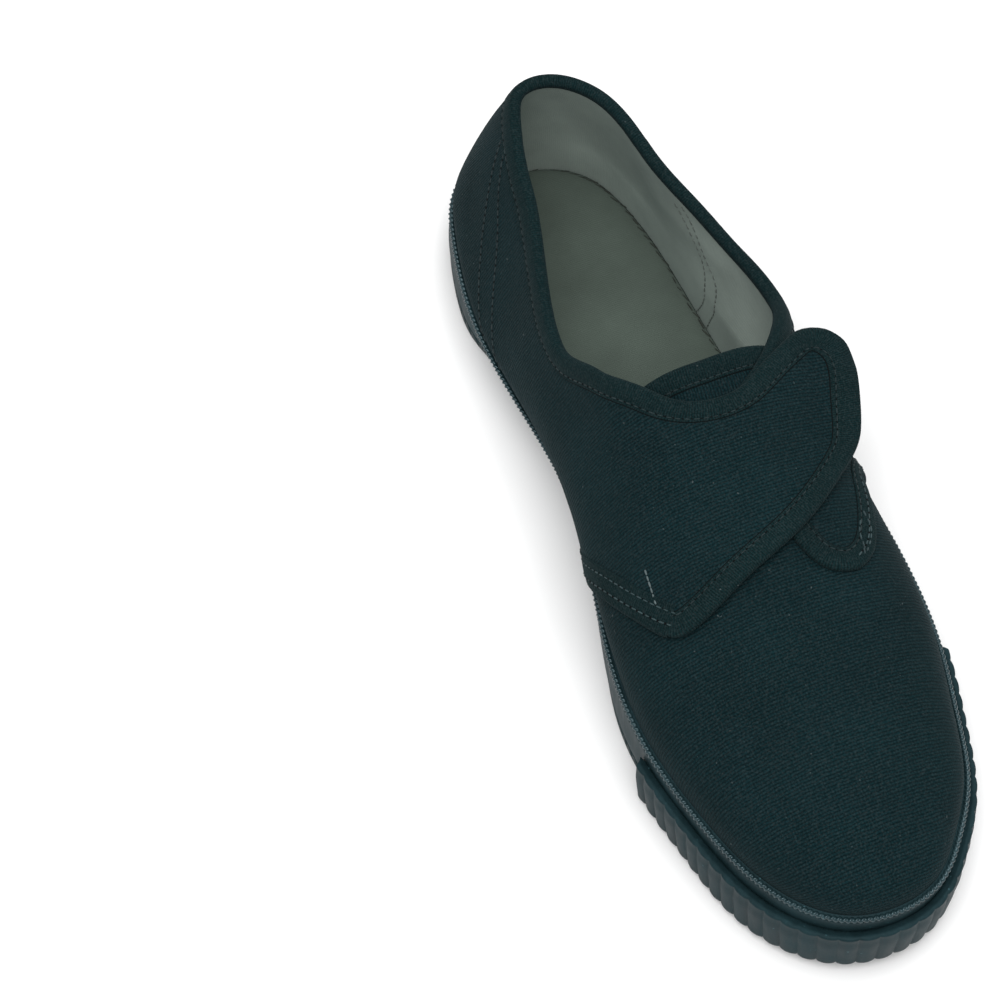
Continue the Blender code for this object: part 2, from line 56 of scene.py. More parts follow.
TONGUE_THICK = 1.5
OUTSOLE_THICK = 6.0
INSOLE_THICK = 3.0
FOXING_HEEL = 20.0
FOXING_FRONT = 27.0
FOXING_THICK = 1.6
FOXING_LIP = 0.2
BEAD_RADIUS = 0.65
BEAD_OUT = 1.0
BUMPER_FOOT = 0.8
BUMPER_HEIGHT = 20.0
BUMPER_THICK = 2.2
RIB_PITCH = 4.4
RIB_HEIGHT = 0.62
ARCH_RISE = 2.0
TOE_SPRING = 4.0

# Places along the last, as shares of its length
THROAT = 0.485
HEEL_CENTRE = 0.138
TOE_CENTRE = 0.850
ARCH_SPAN = (0.30, 0.58)
SPRING_START = 0.80
FOXING_CLIMB = (0.15, 0.65)
BUMPER_MEDIAL = 0.730
BUMPER_LATERAL = 0.735
TAPE_JOIN = 0.20
STATION_STEP = 0.01

# Where the layers change level: spans along the last (shares of its length), across it (-1 medial
# base to +1 lateral base) and up a flank (0 to 1)
FLAP_RISE = (0.33, 0.42)
FLAP_RISE_ACROSS = (-0.64, -0.20)
EDGE_FREE = (0.50, 0.55)
EDGE_FREE_ACROSS = (-0.56, -0.40)
TAB_RISE = (0.54, 0.59)
PRESSED_REAR = (0.38, 0.44)
PRESSED_FRONT = (0.60, 0.54)
PRESSED_UP = (0.60, 0.85)
TUCK_UP = (0.0, 0.10)

# Places up a flank, and shares by which a layer is pressed, tucked in or softened
TAB_END = 0.92
TAB_ROW_END = 0.60
SKIRT = 0.25
THROAT_TUCK = 0.04
PRESSED_SHARE = 0.55
TUCK_SHARE = 0.45
LINING_FOLDS = 0.7
STITCH_SWAY = 0.12
OVERCAST_SWAY = 0.15
OVERCAST_SLANT = 0.2

# Trim, in millimetres; a seam row is its inset from the edge and its lift
TAPE = 0.38
TAPE_WIDTH = 4.4
TAPE_INSIDE = 1.2
TAPE_ROUND = 1.3
# Width and lift of the thin dark strip of painted shadow along a tape's inner edge
SHADOW_LINE_WIDTH = 0.2
SHADOW_LINE_LIFT = 0.05
SEAM_CLEAR = 0.08
FLAP_CLEAR = 0.1
STITCH_PITCH = 2.0
STITCH_LENGTH = 1.35
STITCH_RADIUS = 0.21
BOLD_RADIUS = 0.26
TACKING_PITCH = 1.5
HOLE_RADIUS = 0.34
HOLE_LIFT = 0.06
TAPE_ROW = (0.82 * TAPE_WIDTH, 0.17)
SEAM_ROWS = ((1.6, 0.5), (4.4, 0.25))
TAB_LIFT = 0.45
COUNTER_LIFT = 0.05
TACKING_LIFT = 0.12
LINING_LIFT = 0.1
OVERCAST_PITCH = 2.9
OVERCAST_LENGTH = 2.6
OVERCAST_RADIUS = 0.17
OVERCAST_INSET = 0.6
OVERCAST_DROP = 0.3
INSOLE_DROP = 0.8
INSOLE_EDGE = 1.2
HEM_DEPTH = 2.0
LINING_TUCK = 1.0
KNURL_PITCH = 1.35
KNURL_DEPTH = 0.18
BUMPER_END = 1.6

# Spacing of grids and of paths in millimetres, steps that find a skin's slopes, rows of a hem
VAMP_SPACING = 1.1
QUARTER_SPACING = 1.15
INSIDE_SPACING = 1.6
PATH_SPACING = 0.6
TAPE_SPACING = 1.1
SEAM_SPACING = 1.2
SKIN_STEPS = (0.25, 0.004)
HEM_ROWS = 3

# Widths of a tape inside and outside, where they differ from the usual
TAPE_SIZES = {"throat": (TAPE_INSIDE, 3.0), "medial_seam": (2.0, 6.2), "tab": (2.0, TAPE_WIDTH)}

# Across a folded tape: share of its leg's width from the edge, height in tape thicknesses
TAPE_LEG = ((1.0, 0.1), (0.985, 0.75), (0.93, 1.0), (0.86, 0.62), (0.80, 0.42),
            (0.74, 0.72), (0.60, 1.15), (0.40, 1.35), (0.20, 1.2), (0.08, 1.05))
TAPE_TURN = 9

# One stitch as rings along its length: place from -1 to 1 and share of its radius
STITCH_RINGS = ((-1.0, 0.25), (-0.8, 0.75), (-0.3, 1.0), (0.3, 1.0), (0.8, 0.75), (1.0, 0.25))
STITCH_SIDES = 6
STITCH_TURN = np.linspace(0, 2 * np.pi, STITCH_SIDES, endpoint=False)[:, None]

# Side of the outsole: how far each row stands in from the rubber's face, and its height (mm)
OUTSOLE_SIDE = ((1.5, OUTSOLE_THICK), (0.3, OUTSOLE_THICK), (0.0, OUTSOLE_THICK - 0.4), (0.0, 3.5),
                (0.0, 1.6), (0.25, 0.7), (0.8, 0.15), (1.5, 0.0))

# Plan of the last at the top of the rubber: share of length, then the medial
# and the lateral edge as shares of the ball width
OUTLINE = (
    (0.034, -0.258, 0.226),
    (0.086, -0.329, 0.304),
    (0.194, -0.391, 0.361),
    (0.323, -0.378, 0.397),
    (0.452, -0.378, 0.454),
    (0.560, -0.442, 0.497),
    (0.654, -0.500, 0.508),
    (0.740, -0.505, 0.489),
    (0.827, -0.457, 0.429),
    (0.900, -0.391, 0.356),
    (0.951, -0.307, 0.247),
    (0.986, -0.193, 0.136),
)
HEEL_BACK = (0.0, -0.014)
TOE_TIP = (1.0, -0.031)

# Sections of the last: share of length, ridge offset as a share of the ball
# width, ridge height as a share of the instep height, fullness of the medial
# and lateral flank, and how far each flank swells past its base (mm)
SECTIONS = (
    (0.000, 0.200, 1.360, 0.46, 0.46, 0.5, 0.5),
    (0.015, 0.200, 1.363, 0.32, 0.35, 0.5, 0.5),
    (0.030, 0.200, 1.366, 0.245, 0.28, 0.5, 0.5),
    (0.060, 0.200, 1.372, 0.19, 0.215, 0.5, 0.5),
    (0.100, 0.200, 1.377, 0.155, 0.17, 0.5, 0.5),
    (0.138, 0.200, 1.380, 0.12, 0.15, 0.5, 0.5),
    (0.260, 0.100, 1.420, 0.13, 0.72, 2.0, 5.0),
    (0.344, 0.066, 1.220, 0.32, 0.72, 6.0, 12.0),
    (0.400, 0.062, 1.110, 0.40, 0.66, 7.0, 10.5),
    (0.465, 0.050, 1.000, 0.48, 0.60, 8.5, 7.0),
    (0.560, 0.020, 0.915, 0.56, 0.58, 8.5, 2.0),
    (0.654, 0.000, 0.845, 0.60, 0.60, 3.0, 0.8),
    (0.740, -0.010, 0.790, 0.62, 0.62, 0.8, 0.8),
    (0.850, -0.020, 0.730, 0.62, 0.62, 0.5, 0.5),
    (1.000, -0.020, 0.640, 0.62, 0.62, 0.5, 0.5),
)

# How far the rubber's foot stands in from its top: share of length, medial and
# lateral side (mm); the cloth overhangs it at the waist
UNDERCUT = (
    (0.00, 0.0, 0.0),
    (0.12, 0.0, 0.0),
    (0.16, 1.2, 0.2),
    (0.20, 4.4, 0.6),
    (0.25, 7.4, 1.0),
    (0.33, 8.4, 1.6),
    (0.42, 7.4, 2.0),
    (0.50, 4.6, 1.6),
    (0.58, 2.2, 0.6),
    (0.66, 1.2, 0.0),
    (0.80, 2.2, 0.0),
    (0.90, 1.5, 1.6),
    (1.00, 3.2, 3.2),
)

# Top edge of the upper: share of length at the base, height of the medial and
# of the lateral edge as shares of the heel height
TOPLINE = (
    (0.000, 1.030, 1.030),
    (0.086, 0.990, 0.990),
    (0.194, 0.930, 0.935),
    (0.267, 0.905, 0.900),
    (0.336, 0.925, 0.900),
    (0.365, 0.955, 0.920),
    (0.400, 1.010, 1.010),
    (0.440, 1.065, 1.075),
    (0.485, 1.105, 1.105),
)

# Strap from its medial root to its free lateral end: place across the last
# (-1 medial base, 0 ridge, +1 lateral base), rear edge and front edge as shares
# of length, lift of its underside off the upper (mm)
STRAP = (
    (-0.40, 0.398, 0.671, 1.8),
    (-0.25, 0.436, 0.667, 1.8),
    (-0.08, 0.469, 0.648, 1.9),
    (0.12, 0.474, 0.626, 2.0),
    (0.28, 0.453, 0.603, 2.6),
    (0.42, 0.433, 0.577, 3.6),
    (0.52, 0.4235, 0.553, 6.0),
    (0.555, 0.4255, 0.533, 7.8),
    (0.585, 0.4315, 0.505, 9.2),
    (0.605, 0.438, 0.483, 10.0),
    (0.615, 0.447, 0.470, 10.3),
)
STRAP_ROOT, ROOT_REAR, ROOT_FRONT = STRAP[0][:3]
CORNER_SHARE = 0.565

# Tongue: place across, rear and front edge as shares of length
TONGUE = (
    (-0.46, 0.432, 0.580),
    (-0.30, 0.429, 0.600),
    (0.00, 0.434, 0.610),
    (0.30, 0.430, 0.600),
    (0.46, 0.428, 0.580),
)

# Front edges of the quarters: share of the flank height, then share of length
MEDIAL_SEAM = (
    (0.00, 0.529),
    (0.07, 0.543),
    (0.26, 0.583),
    (0.37, 0.613),
    (0.49, 0.647),
    (0.56, 0.665),
    (1 + STRAP_ROOT, ROOT_FRONT),
)
LATERAL_SEAM = (
    (0.00, 0.556),
    (0.16, 0.556),
    (0.26, 0.560),
    (0.312, 0.569),
    (0.346, 0.590),
    (0.416, 0.624),
    (0.492, 0.651),
    (0.579, 0.668),
    (0.64, 0.673),
    (0.697, 0.672),
    (0.781, 0.659),
    (0.823, 0.638),
    (0.848, 0.616),
    (0.90, 0.570),
    (1.00, 0.485),
)

# Stitched edge of the heel counter: share of length and share of the flank, for the
# two rows seen outside and the panel's edge on the lining (below 0 is under the wall)
COUNTER_OUTSIDE = (
    ((0.038, 0.431), (0.092, 0.338), (0.160, 0.201), (0.198, 0.100), (0.218, 0.030)),
    ((0.058, 0.438), (0.108, 0.378), (0.150, 0.331), (0.188, 0.254), (0.232, 0.130), (0.258, 0.030)),
)
COUNTER_INSIDE = (
    ((0.197, 0.262), (0.226, 0.151), (0.246, 0.080), (0.257, 0.000), (0.256, -0.110), (0.246, -0.240)),
    ((0.210, 0.262), (0.238, 0.151), (0.260, 0.084), (0.276, 0.040), (0.280, -0.040), (0.276, -0.125),
     (0.270, -0.240)),
)

# Light row of tacking stitches at the strap's root: share of length, share of the flank
TACKING = ((0.601, 0.569), (0.625, 0.565), (0.647, 0.562), (0.665, 0.569))

# Reinforcing rows on the tab, as (share of length, height share on the lateral flank)
TAB_ROWS = (
    ((0.620, 0.474), (0.632, 0.472), (0.646, 0.500), (0.660, 0.556)),
    ((0.630, 0.528), (0.643, 0.560), (0.654, 0.566), (0.662, 0.578)),
)

# Soft folds of the cloth: start and end (share of length, place across), depth
# (mm, minus is a trough) and half width (mm)
FOLDS = (
    ((0.300, -0.70), (0.440, -0.52), -0.9, 7.0),
    ((0.360, -0.88), (0.520, -0.70), 0.5, 8.0),
    ((0.470, -0.80), (0.600, -0.62), -0.5, 6.0),
    ((0.520, 0.10), (0.600, -0.20), -0.5, 8.0),
    ((0.470, 0.34), (0.560, 0.26), -0.6, 7.0),
    ((0.700, -0.55), (0.720, 0.10), -0.35, 7.0),
    ((0.735, 0.15), (0.745, 0.62), -0.30, 7.0),
    ((0.150, 0.80), (0.300, 0.84), -0.7, 6.0),
    ((0.300, 0.70), (0.420, 0.62), 0.6, 7.0),
    ((0.400, 0.80), (0.540, 0.70), -0.6, 7.0),
    ((0.050, -0.72), (0.140, -0.82), -0.4, 6.0),
)

# Colours, as linear light
CANVAS = (0.0022, 0.0096, 0.0114)
TAPE_COLOUR = (0.0026, 0.0096, 0.0106)
FIBRE = (0.0090, 0.0100, 0.0100)
THREAD = (0.0080, 0.0185, 0.0205)
SEAM_ROW_THREAD = (0.0220, 0.0420, 0.0460)
PALE_THREAD = (0.0850, 0.1150, 0.1200)
# Near-black painted shade for each needle hole and for the shadow line along a tape's inner edge
HOLE_SHADE = (0.0012, 0.0022, 0.0025)
RUBBER = (0.0100, 0.0240, 0.0280)
LINING = (0.2600, 0.3050, 0.2760)
INSOLE_CLOTH = (0.0660, 0.0840, 0.0710)
SEAM_THREAD = (0.0300, 0.0360, 0.0290)
LINING_THREAD = (0.1100, 0.1300, 0.1180)
FLOOR = (0.80, 0.80, 0.80)

# Camera: turn, height and roll (degrees), distance and target (mm), focal length in
# pixels of a 1000 pixel frame, and shift of the picture's centre in pixels
VIEW_TURN, VIEW_HEIGHT, VIEW_ROLL = 63.65, 62.32, 2.71
VIEW_DISTANCE = 1030.72
VIEW_TARGET = np.array([115.0, 0.0, 25.0])
VIEW_FOCAL = 4236.88
VIEW_SHIFT = (198.44, -1.42)
FRAME_PIXELS = 1000.0
SENSOR = 36.0

# Stage, in metres: nearest distance drawn, floor, light of the surroundings, and each soft light's
# direction, size and power
CLIP_START = 0.05
FLOOR_HALF = 4.0
FLOOR_LEVEL = -0.0002
WORLD_STRENGTH = 0.5
LIGHT_DISTANCE = 1.4
KEY_LIGHT = ((0.28, -0.16, 1.0), 1.15, 23.0)
FILL_LIGHT = ((-0.3, 0.55, 0.9), 1.2, 7.0)


# The last

def spline(knots, values, at, loop=False):
    """Cubic spline through values at rising knots, closed or with free ends."""
    knots = np.asarray(knots, float)
    values = np.asarray(values, float).reshape(len(knots), -1)
    count = len(knots)
    step = np.diff(knots)
    rows = np.zeros((count, count))
    right = np.zeros_like(values)
    rise = np.diff(values, axis=0) / step[:, None]
    for i in range(1, count - 1):
        rows[i, i - 1:i + 2] = step[i - 1], 2 * (step[i - 1] + step[i]), step[i]
        right[i] = 6 * (rise[i] - rise[i - 1])
    if loop:
        rows[0, 0], rows[0, -1] = 1, -1
        rows[-1, [0, 1, -2, -1]] = 2 * step[0], step[0], step[-1], 2 * step[-1]
        right[-1] = 6 * (rise[0] - rise[-1])
    else:
        rows[0, 0] = rows[-1, -1] = 1
    bend = np.linalg.solve(rows, right)
    at = np.asarray(at, float)
    cell = np.clip(np.searchsorted(knots, at, side="right") - 1, 0, count - 2)
    width = step[cell][:, None]
    near = ((knots[cell + 1] - at)[:, None]) / width
    far = 1 - near
    curve = (near ** 3 - near) * bend[cell] + (far ** 3 - far) * bend[cell + 1]
    return near * values[cell] + far * values[cell + 1] + curve * width ** 2 / 6


def column(table, index, at):
    """One column of a table, read smoothly at values of its first column."""
    rows = np.array(table)
    at = np.asarray(at, float)
    inside = np.clip(at.ravel(), rows[0, 0], rows[-1, 0])
    return spline(rows[:, 0], rows[:, index], inside)[:, 0].reshape(at.shape)


def by_side(table, index, medial, share):
    """A table's medial column, or the lateral one after it, read at shares of length."""
    return np.where(medial, column(table, index, share), column(table, index + 1, share))


def run_along(points):
    """Distance along a run of points."""
    return np.r_[0, np.cumsum(np.linalg.norm(np.diff(points, axis=0), axis=1))]


def smooth_path(points, count):
    """A smooth run of places (share of length, place across) through a few of them."""
    chord = run_along(np.array(points) * (LAST_LENGTH, BALL_WIDTH / 2))
    return spline(chord, points, np.linspace(0, chord[-1], count)).T


def unit(vectors):
    """Vectors of length one."""
    return vectors / np.maximum(np.linalg.norm(vectors, axis=-1, keepdims=True), 1e-12)


def ramp(value, start, stop):
    """Smooth ramp from 0 at start to 1 at stop."""
    part = np.clip((value - start) / (stop - start), 0, 1)
    return part * part * (3 - 2 * part)


def matched(first, second):
    """Two parameters as arrays of one shape."""
    return np.broadcast_arrays(np.asarray(first, float), np.asarray(second, float))


def last_outline(samples=1600):
    """The closed plan curve of the last from its heel, with outward normals (mm)."""
    rows = np.array(OUTLINE)
    points = np.vstack([[HEEL_BACK], rows[:, [0, 2]], [TOE_TIP], rows[::-1, [0, 1]], [HEEL_BACK]])
    points = points * (LAST_LENGTH, BALL_WIDTH)
    chord = run_along(points)
    curve = spline(chord, points, np.linspace(0, chord[-1], samples + 1), loop=True)[:-1]
    along = unit(np.roll(curve, -1, 0) - np.roll(curve, 1, 0))
    normal = np.stack([-along[:, 1], along[:, 0]], 1)
    order = (np.argmin(curve[:, 0]) + np.arange(samples + 1)) % samples
    return curve[order], normal[order]


SIDES = ("lateral", "medial")
CURVE, NORMAL = last_outline()
ARC = run_along(CURVE)
PERIMETER = ARC[-1]
TOE_AT = int(np.argmax(CURVE[:, 0]))
TOE_ARC = ARC[TOE_AT]
BACK_X, TIP_X = CURVE[0, 0], CURVE[TOE_AT, 0]


def arc_of(side, x):
    """Distance round the last's edge, from the heel by way of the lateral side, to length x."""
    part = slice(TOE_AT + 1) if side == "lateral" else slice(None, TOE_AT - 1, -1)
    return np.interp(x, CURVE[part, 0], ARC[part])


def plan_at(arc):
    """Plan point and outward normal of the edge at a distance round it, and whether it is medial."""
    arc = np.mod(arc, PERIMETER)
    point = np.stack([np.interp(arc, ARC, CURVE[:, i]) for i in (0, 1)], -1)
    out = np.stack([np.interp(arc, ARC, NORMAL[:, i]) for i in (0, 1)], -1)
    return point, unit(out), arc > TOE_ARC


def length_at(arc):
    """Length x of the edge at a distance round it."""
    return plan_at(arc)[0][..., 0]


def sole_rise(x):
    """Height of the sole's underside: flat heel and ball, arch and toe spring."""
    share = x / LAST_LENGTH
    arch = np.clip((share - ARCH_SPAN[0]) / (ARCH_SPAN[1] - ARCH_SPAN[0]), 0, 1)
    spring = np.clip((share - SPRING_START) / (1 - SPRING_START), 0, None)
    return ARCH_RISE * np.sin(np.pi * arch) ** 2 + TOE_SPRING * spring ** 2


def band_height(x):
    """Height of the rubber band's top above the sole's underside."""
    return FOXING_HEEL + (FOXING_FRONT - FOXING_HEEL) * ramp(x / LAST_LENGTH, *FOXING_CLIMB)


def undercut(medial, x, height):
    """How far the rubber stands in from the last's edge at a height above the sole's underside."""
    return by_side(UNDERCUT, 1, medial, x / LAST_LENGTH) * (1 - height / band_height(x))


def rubber_ring(arc, offset, height):
    """Points round the sole at an offset from the last's edge and a height above the sole's underside."""
    plan, out, medial = plan_at(arc)
    x = plan[..., 0]
    away = offset - undercut(medial, x, height)
    z = sole_rise(x) + height
    return np.concatenate([plan + out * away[..., None], z[..., None]], -1)


def edge_pair(x, offset, height):
    """Lateral and medial points of the sole at lengths x."""
    return [rubber_ring(arc_of(side, x), offset, height) for side in SIDES]


def ridge_plan(x):
    """Plan point that the flanks at length x rise to, and its share of length."""
    station = np.clip(x / LAST_LENGTH, HEEL_CENTRE, TOE_CENTRE)
    return np.stack([station * LAST_LENGTH, column(SECTIONS, 1, station) * BALL_WIDTH], -1), station


def on_last(arc, t):
    """Point of the last over its edge: t is 0 at the rubber and 1 at the ridge."""
    arc, t = matched(arc, t)
    base, _, medial = plan_at(arc)
    x = base[..., 0]
    share = x / LAST_LENGTH
    ridge, station = ridge_plan(x)
    top = column(SECTIONS, 2, station) * INSTEP_HEIGHT
    slope = column(SECTIONS, 2, station + STATION_STEP) - column(SECTIONS, 2, station - STATION_STEP)
    slope = slope * INSTEP_HEIGHT / (2 * STATION_STEP * LAST_LENGTH)
    full, swell = [by_side(SECTIONS, index, medial, share) for index in (3, 5)]
    run = ridge - base
    foot = sole_rise(x) + band_height(x) + CLOTH_FOOT
    dip = np.where(share > TOE_CENTRE, -slope * run[..., 0] * full, 0)
    across = (0, -swell / np.linalg.norm(run, axis=-1), 1 - full, 1)
    height = (foot, foot + full * (top - foot), top + dip, top)
    weight = ((1 - t) ** 3, 3 * t * (1 - t) ** 2, 3 * t * t * (1 - t), t ** 3)
    reach, z = [sum(w * value for w, value in zip(weight, values)) for values in (across, height)]
    return np.concatenate([base + run * reach[..., None], z[..., None]], -1)


def across_last(x, place):
    """Point of the last at length x and place -1 (medial base) to +1 (lateral base)."""
    x, place = matched(x, place)
    arc = np.where(place >= 0, arc_of("lateral", x), arc_of("medial", x))
    return on_last(arc, 1 - np.abs(place))


class Skin:
    """A surface of two parameters, with its normals and steps along it in millimetres."""

    def __init__(self, surface, turn, most=None):
        self.surface, self.turn, self.most = surface, turn, most

    def slopes(self, first, second):
        """How the surface runs on along each parameter, beyond most as it does there."""
        one, two = SKIN_STEPS
        if self.most is not None:
            second = np.minimum(second, self.most)
        a = (self.surface(first + one, second) - self.surface(first - one, second)) / (2 * one)
        b = (self.surface(first, second + two) - self.surface(first, second - two)) / (2 * two)
        return a, b

    def point(self, first, second, height=0.0):
        """Points at a height over the surface, with its normals."""
        normal = unit(np.cross(*self.slopes(first, second)) * self.turn)
        height = np.asarray(height, float)
        return self.surface(first, second) + normal * height[..., None], normal

    def moved(self, first, second, direction, distance):
        """Parameters a distance away along a direction that lies in the surface."""
        a, b = self.slopes(first, second)
        aa, ab, bb = (a * a).sum(-1), (a * b).sum(-1), (b * b).sum(-1)
        ad, bd = (a * direction).sum(-1) * distance, (b * direction).sum(-1) * distance
        whole = aa * bb - ab * ab
        return first + (ad * bb - bd * ab) / whole, second + (bd * aa - ad * ab) / whole


ROUND = Skin(on_last, -1, 0.99)
OVER = Skin(across_last, 1)


def top_share(side, x):
    """How far up its flank the upper reaches at lengths x."""
    share = x / LAST_LENGTH
    goal = column(TOPLINE, 1 if side == "medial" else 2, share) * HEEL_HEIGHT
    steps = np.linspace(0, 1, 201)
    heights = np.maximum.accumulate(on_last(arc_of(side, x)[:, None], steps[None, :])[..., 2], axis=1)
    reach = np.array([np.interp(*pair, steps) for pair in zip(goal, heights)])
    return np.where(share >= THROAT - 1e-6, 1.0, reach)


ROOT_LIFT = 1 + STRAP_ROOT - top_share("medial", np.array([ROOT_REAR * LAST_LENGTH]))[0]


def reach_of(side, x):
    """How far up its flank the cloth reaches, on the medial side drawn up to the strap."""
    drawn = ROOT_LIFT * ramp(x / LAST_LENGTH, FLAP_RISE[0], ROOT_REAR) if side == "medial" else 0.0
    return np.minimum(top_share(side, x) + drawn, 1.0)


def lengths(start, stop, spacing):
    """Lengths between two shares, even along the lateral edge of the last."""
    first, last = arc_of("lateral", np.interp([start, stop], [0, 1], [BACK_X, TIP_X]))
    arcs = np.linspace(first, last, max(2, int(round((last - first) / spacing)) + 1))
    return length_at(arcs)


def folds(points):
    """Height of the soft folds at points of the cloth (mm)."""
    total = np.zeros(points.shape[:-1])
    for start, stop, depth, width in FOLDS:
        a, b = [across_last(x * LAST_LENGTH, place) for x, place in (start, stop)]
        line = b - a
        along = ((points - a) @ line) / (line @ line)
        away = np.linalg.norm(points - a - np.clip(along, 0, 1)[..., None] * line, axis=-1)
        fade = np.sin(np.pi * np.clip(along * 0.8 + 0.1, 0, 1))
        total += depth * np.exp(-(away / width) ** 2) * fade
    return total


def on_lining(arc, t):
    """Point of the lining: up the wall from 0, and from -SKIRT at the insole to 0 below it."""
    arc, t = matched(arc, t)
    up = np.maximum(t, 0)
    wall = ROUND.point(arc, up, folds(on_last(arc, up)) * LINING_FOLDS - WALL)[0]
    foot = rubber_ring(arc, -WALL, OUTSOLE_THICK + INSOLE_THICK - LINING_TUCK)
    share = np.clip(1 + t / SKIRT, 0, 1)[..., None]
    return foot + (wall - foot) * share


INSIDE = Skin(on_lining, 1, 0.98)


def on_cloth(skin, places, face, lift=0.0):
    """Points and normals over a layer's face and its soft folds, which the lining holds already."""
    soft = 0.0 if skin is INSIDE else folds(skin.surface(*places))
    return skin.point(*places, face(*places) + lift + soft)


def distance_over(x, place, start):
    """Distance across the last from one base (start -1 medial, +1 lateral) to a place at length x (mm)."""
    rows, columns = 60, 120
    stations = np.linspace(x.min(), x.max(), rows + 1)
    steps = np.linspace(start, -start, columns + 1)
    mesh = across_last(stations[:, None], steps[None, :])
    step = np.linalg.norm(np.diff(mesh, axis=1), axis=-1)
    run = np.concatenate([np.zeros((rows + 1, 1)), np.cumsum(step, 1)], 1)
    a = (x - stations[0]) / (stations[-1] - stations[0]) * rows
    b = (place - start) / (-2 * start) * columns
    i, j = np.clip(a.astype(int), 0, rows - 1), np.clip(b.astype(int), 0, columns - 1)
    a, b = a - i, b - j
    near = run[i, j] * (1 - b) + run[i, j + 1] * b
    far = run[i + 1, j] * (1 - b) + run[i + 1, j + 1] * b
    return near * (1 - a) + far * a


# Meshes

class Piece:
    """Vertices (mm) with thread coordinates (mm), gathered from grids, then one object."""

    def __init__(self, name):
        self.name = name
        self.points, self.threads, self.faces, self.count = [], [], [], 0

    def add(self, points, threads, faces):
        self.points.append(np.asarray(points, float).reshape(-1, 3))
        self.threads.append(np.asarray(threads, float).reshape(-1, 2))
        self.faces.extend((np.asarray(faces) + self.count).tolist())
        self.count += len(self.points[-1])

    def grid(self, points, threads=None, flip=False, loop=False):
        rows, columns = points.shape[:2]
        number = np.arange(rows * columns).reshape(rows, columns)
        after = np.roll(number, -1, 0) if loop else number[1:]
        here = number if loop else number[:-1]
        quads = [here[:, :-1], after[:, :-1], after[:, 1:], here[:, 1:]]
        quads = np.stack(quads[::-1] if flip else quads, -1).reshape(-1, 4)
        self.add(points, grid_threads(points) if threads is None else threads, quads)

    def build(self, material, slot, nodes=(), weld=0.01):
        mesh = bpy.data.meshes.new(self.name)
        points = (np.vstack(self.points) - CENTRE) * MM
        mesh.from_pydata(points.tolist(), [], self.faces)
        corner = np.zeros(len(mesh.loops), int)
        mesh.loops.foreach_get("vertex_index", corner)
        layer = mesh.uv_layers.new(name="thread")
        layer.data.foreach_set("uv", np.vstack(self.threads)[corner].ravel())
        shape = bmesh.new()
        shape.from_mesh(mesh)
        bmesh.ops.remove_doubles(shape, verts=shape.verts, dist=weld * MM)
        shape.to_mesh(mesh)
        shape.free()
        mesh.polygons.foreach_set("use_smooth", np.ones(len(mesh.polygons), bool))
        mesh.materials.append(material)
        thing = bpy.data.objects.new(self.name, mesh)
        bpy.context.scene.collection.objects.link(thing)
        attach(thing, "root")
        if nodes:
            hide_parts(*nodes)


def grid_threads(points):
    """Thread coordinates of a grid: distance along its rows and along its columns (mm)."""
    first = np.linalg.norm(np.diff(points, axis=0), axis=-1).mean(1)
    second = np.linalg.norm(np.diff(points, axis=1), axis=-1)
    u = np.r_[0, np.cumsum(first)][:, None] + 0 * points[..., 0]
    v = np.concatenate([np.zeros((len(points), 1)), np.cumsum(second, 1)], 1)
    return np.stack([u, v], -1)


def evenly(skin, first, second, spacing):
    """The places of a path on a skin, respaced evenly."""
    arc = run_along(skin.surface(first, second))
    at = np.linspace(0, arc[-1], max(3, int(round(arc[-1] / spacing)) + 1))
    return np.interp(at, arc, first), np.interp(at, arc, second)


def path_frame(skin, path, side):
    """Points, normals and inward direction along a path on a skin."""
    points, normals = skin.point(*path)
    along = unit(np.gradient(points, axis=0))
    return points, normals, unit(np.cross(normals, along)) * side


def inside_path(skin, path, side, distance, passes=2.2):
    """Places a distance inside a path, eased so that a tight bend comes out round."""
    places = np.array(skin.moved(*path, path_frame(skin, path, side)[2], distance))
    for _ in range(int(round(passes * distance))):
        places[:, 1:-1] = (places[:, :-2] + 2 * places[:, 1:-1] + places[:, 2:]) / 4
    return places


def binding(piece, skin, path, side, outer, inner, inside, width):
    """A tape folded over the edge of a cloth: outer and inner give the cloth's two faces."""
    points, normals, inward = path_frame(skin, path, side)
    rows = []
    for share, lift in TAPE_LEG:
        rows.append(on_cloth(skin, inside_path(skin, path, side, share * width), outer, lift * TAPE)[0])
    high = ((on_cloth(skin, path, outer, TAPE)[0] - points) * normals).sum(-1)
    low = inner(*path) - TAPE
    middle, half = (high + low) / 2, (high - low) / 2
    for angle in np.linspace(np.pi / 2, -np.pi / 2, TAPE_TURN):
        reach = np.minimum(half, TAPE_ROUND) * np.cos(angle)
        rows.append(points - inward * reach[:, None] + normals * (middle + half * np.sin(angle))[:, None])
    for share, lift in TAPE_LEG[::-1]:
        places = inside_path(skin, path, side, share * inside)
        rows.append(skin.point(*places, inner(*places) - min(lift, 1.0) * TAPE)[0])
    piece.grid(np.stack(rows, 1), flip=side > 0)


def add_stitch(piece, axes, length, radius, stretch):
    """One stitch as a rounded rod; axes are its middle and the ways along, across and up."""
    middle, along, across, up = axes
    place, share = np.array(STITCH_RINGS).T
    rod = middle + along * (place * length / 2 * stretch)[:, None]
    spokes = np.cos(STITCH_TURN) * across + np.sin(STITCH_TURN) * up
    threads = np.stack(np.broadcast_arrays(place * length, STITCH_TURN), -1)
    piece.grid(rod + spokes[:, None] * (share * radius)[:, None], threads, loop=True)


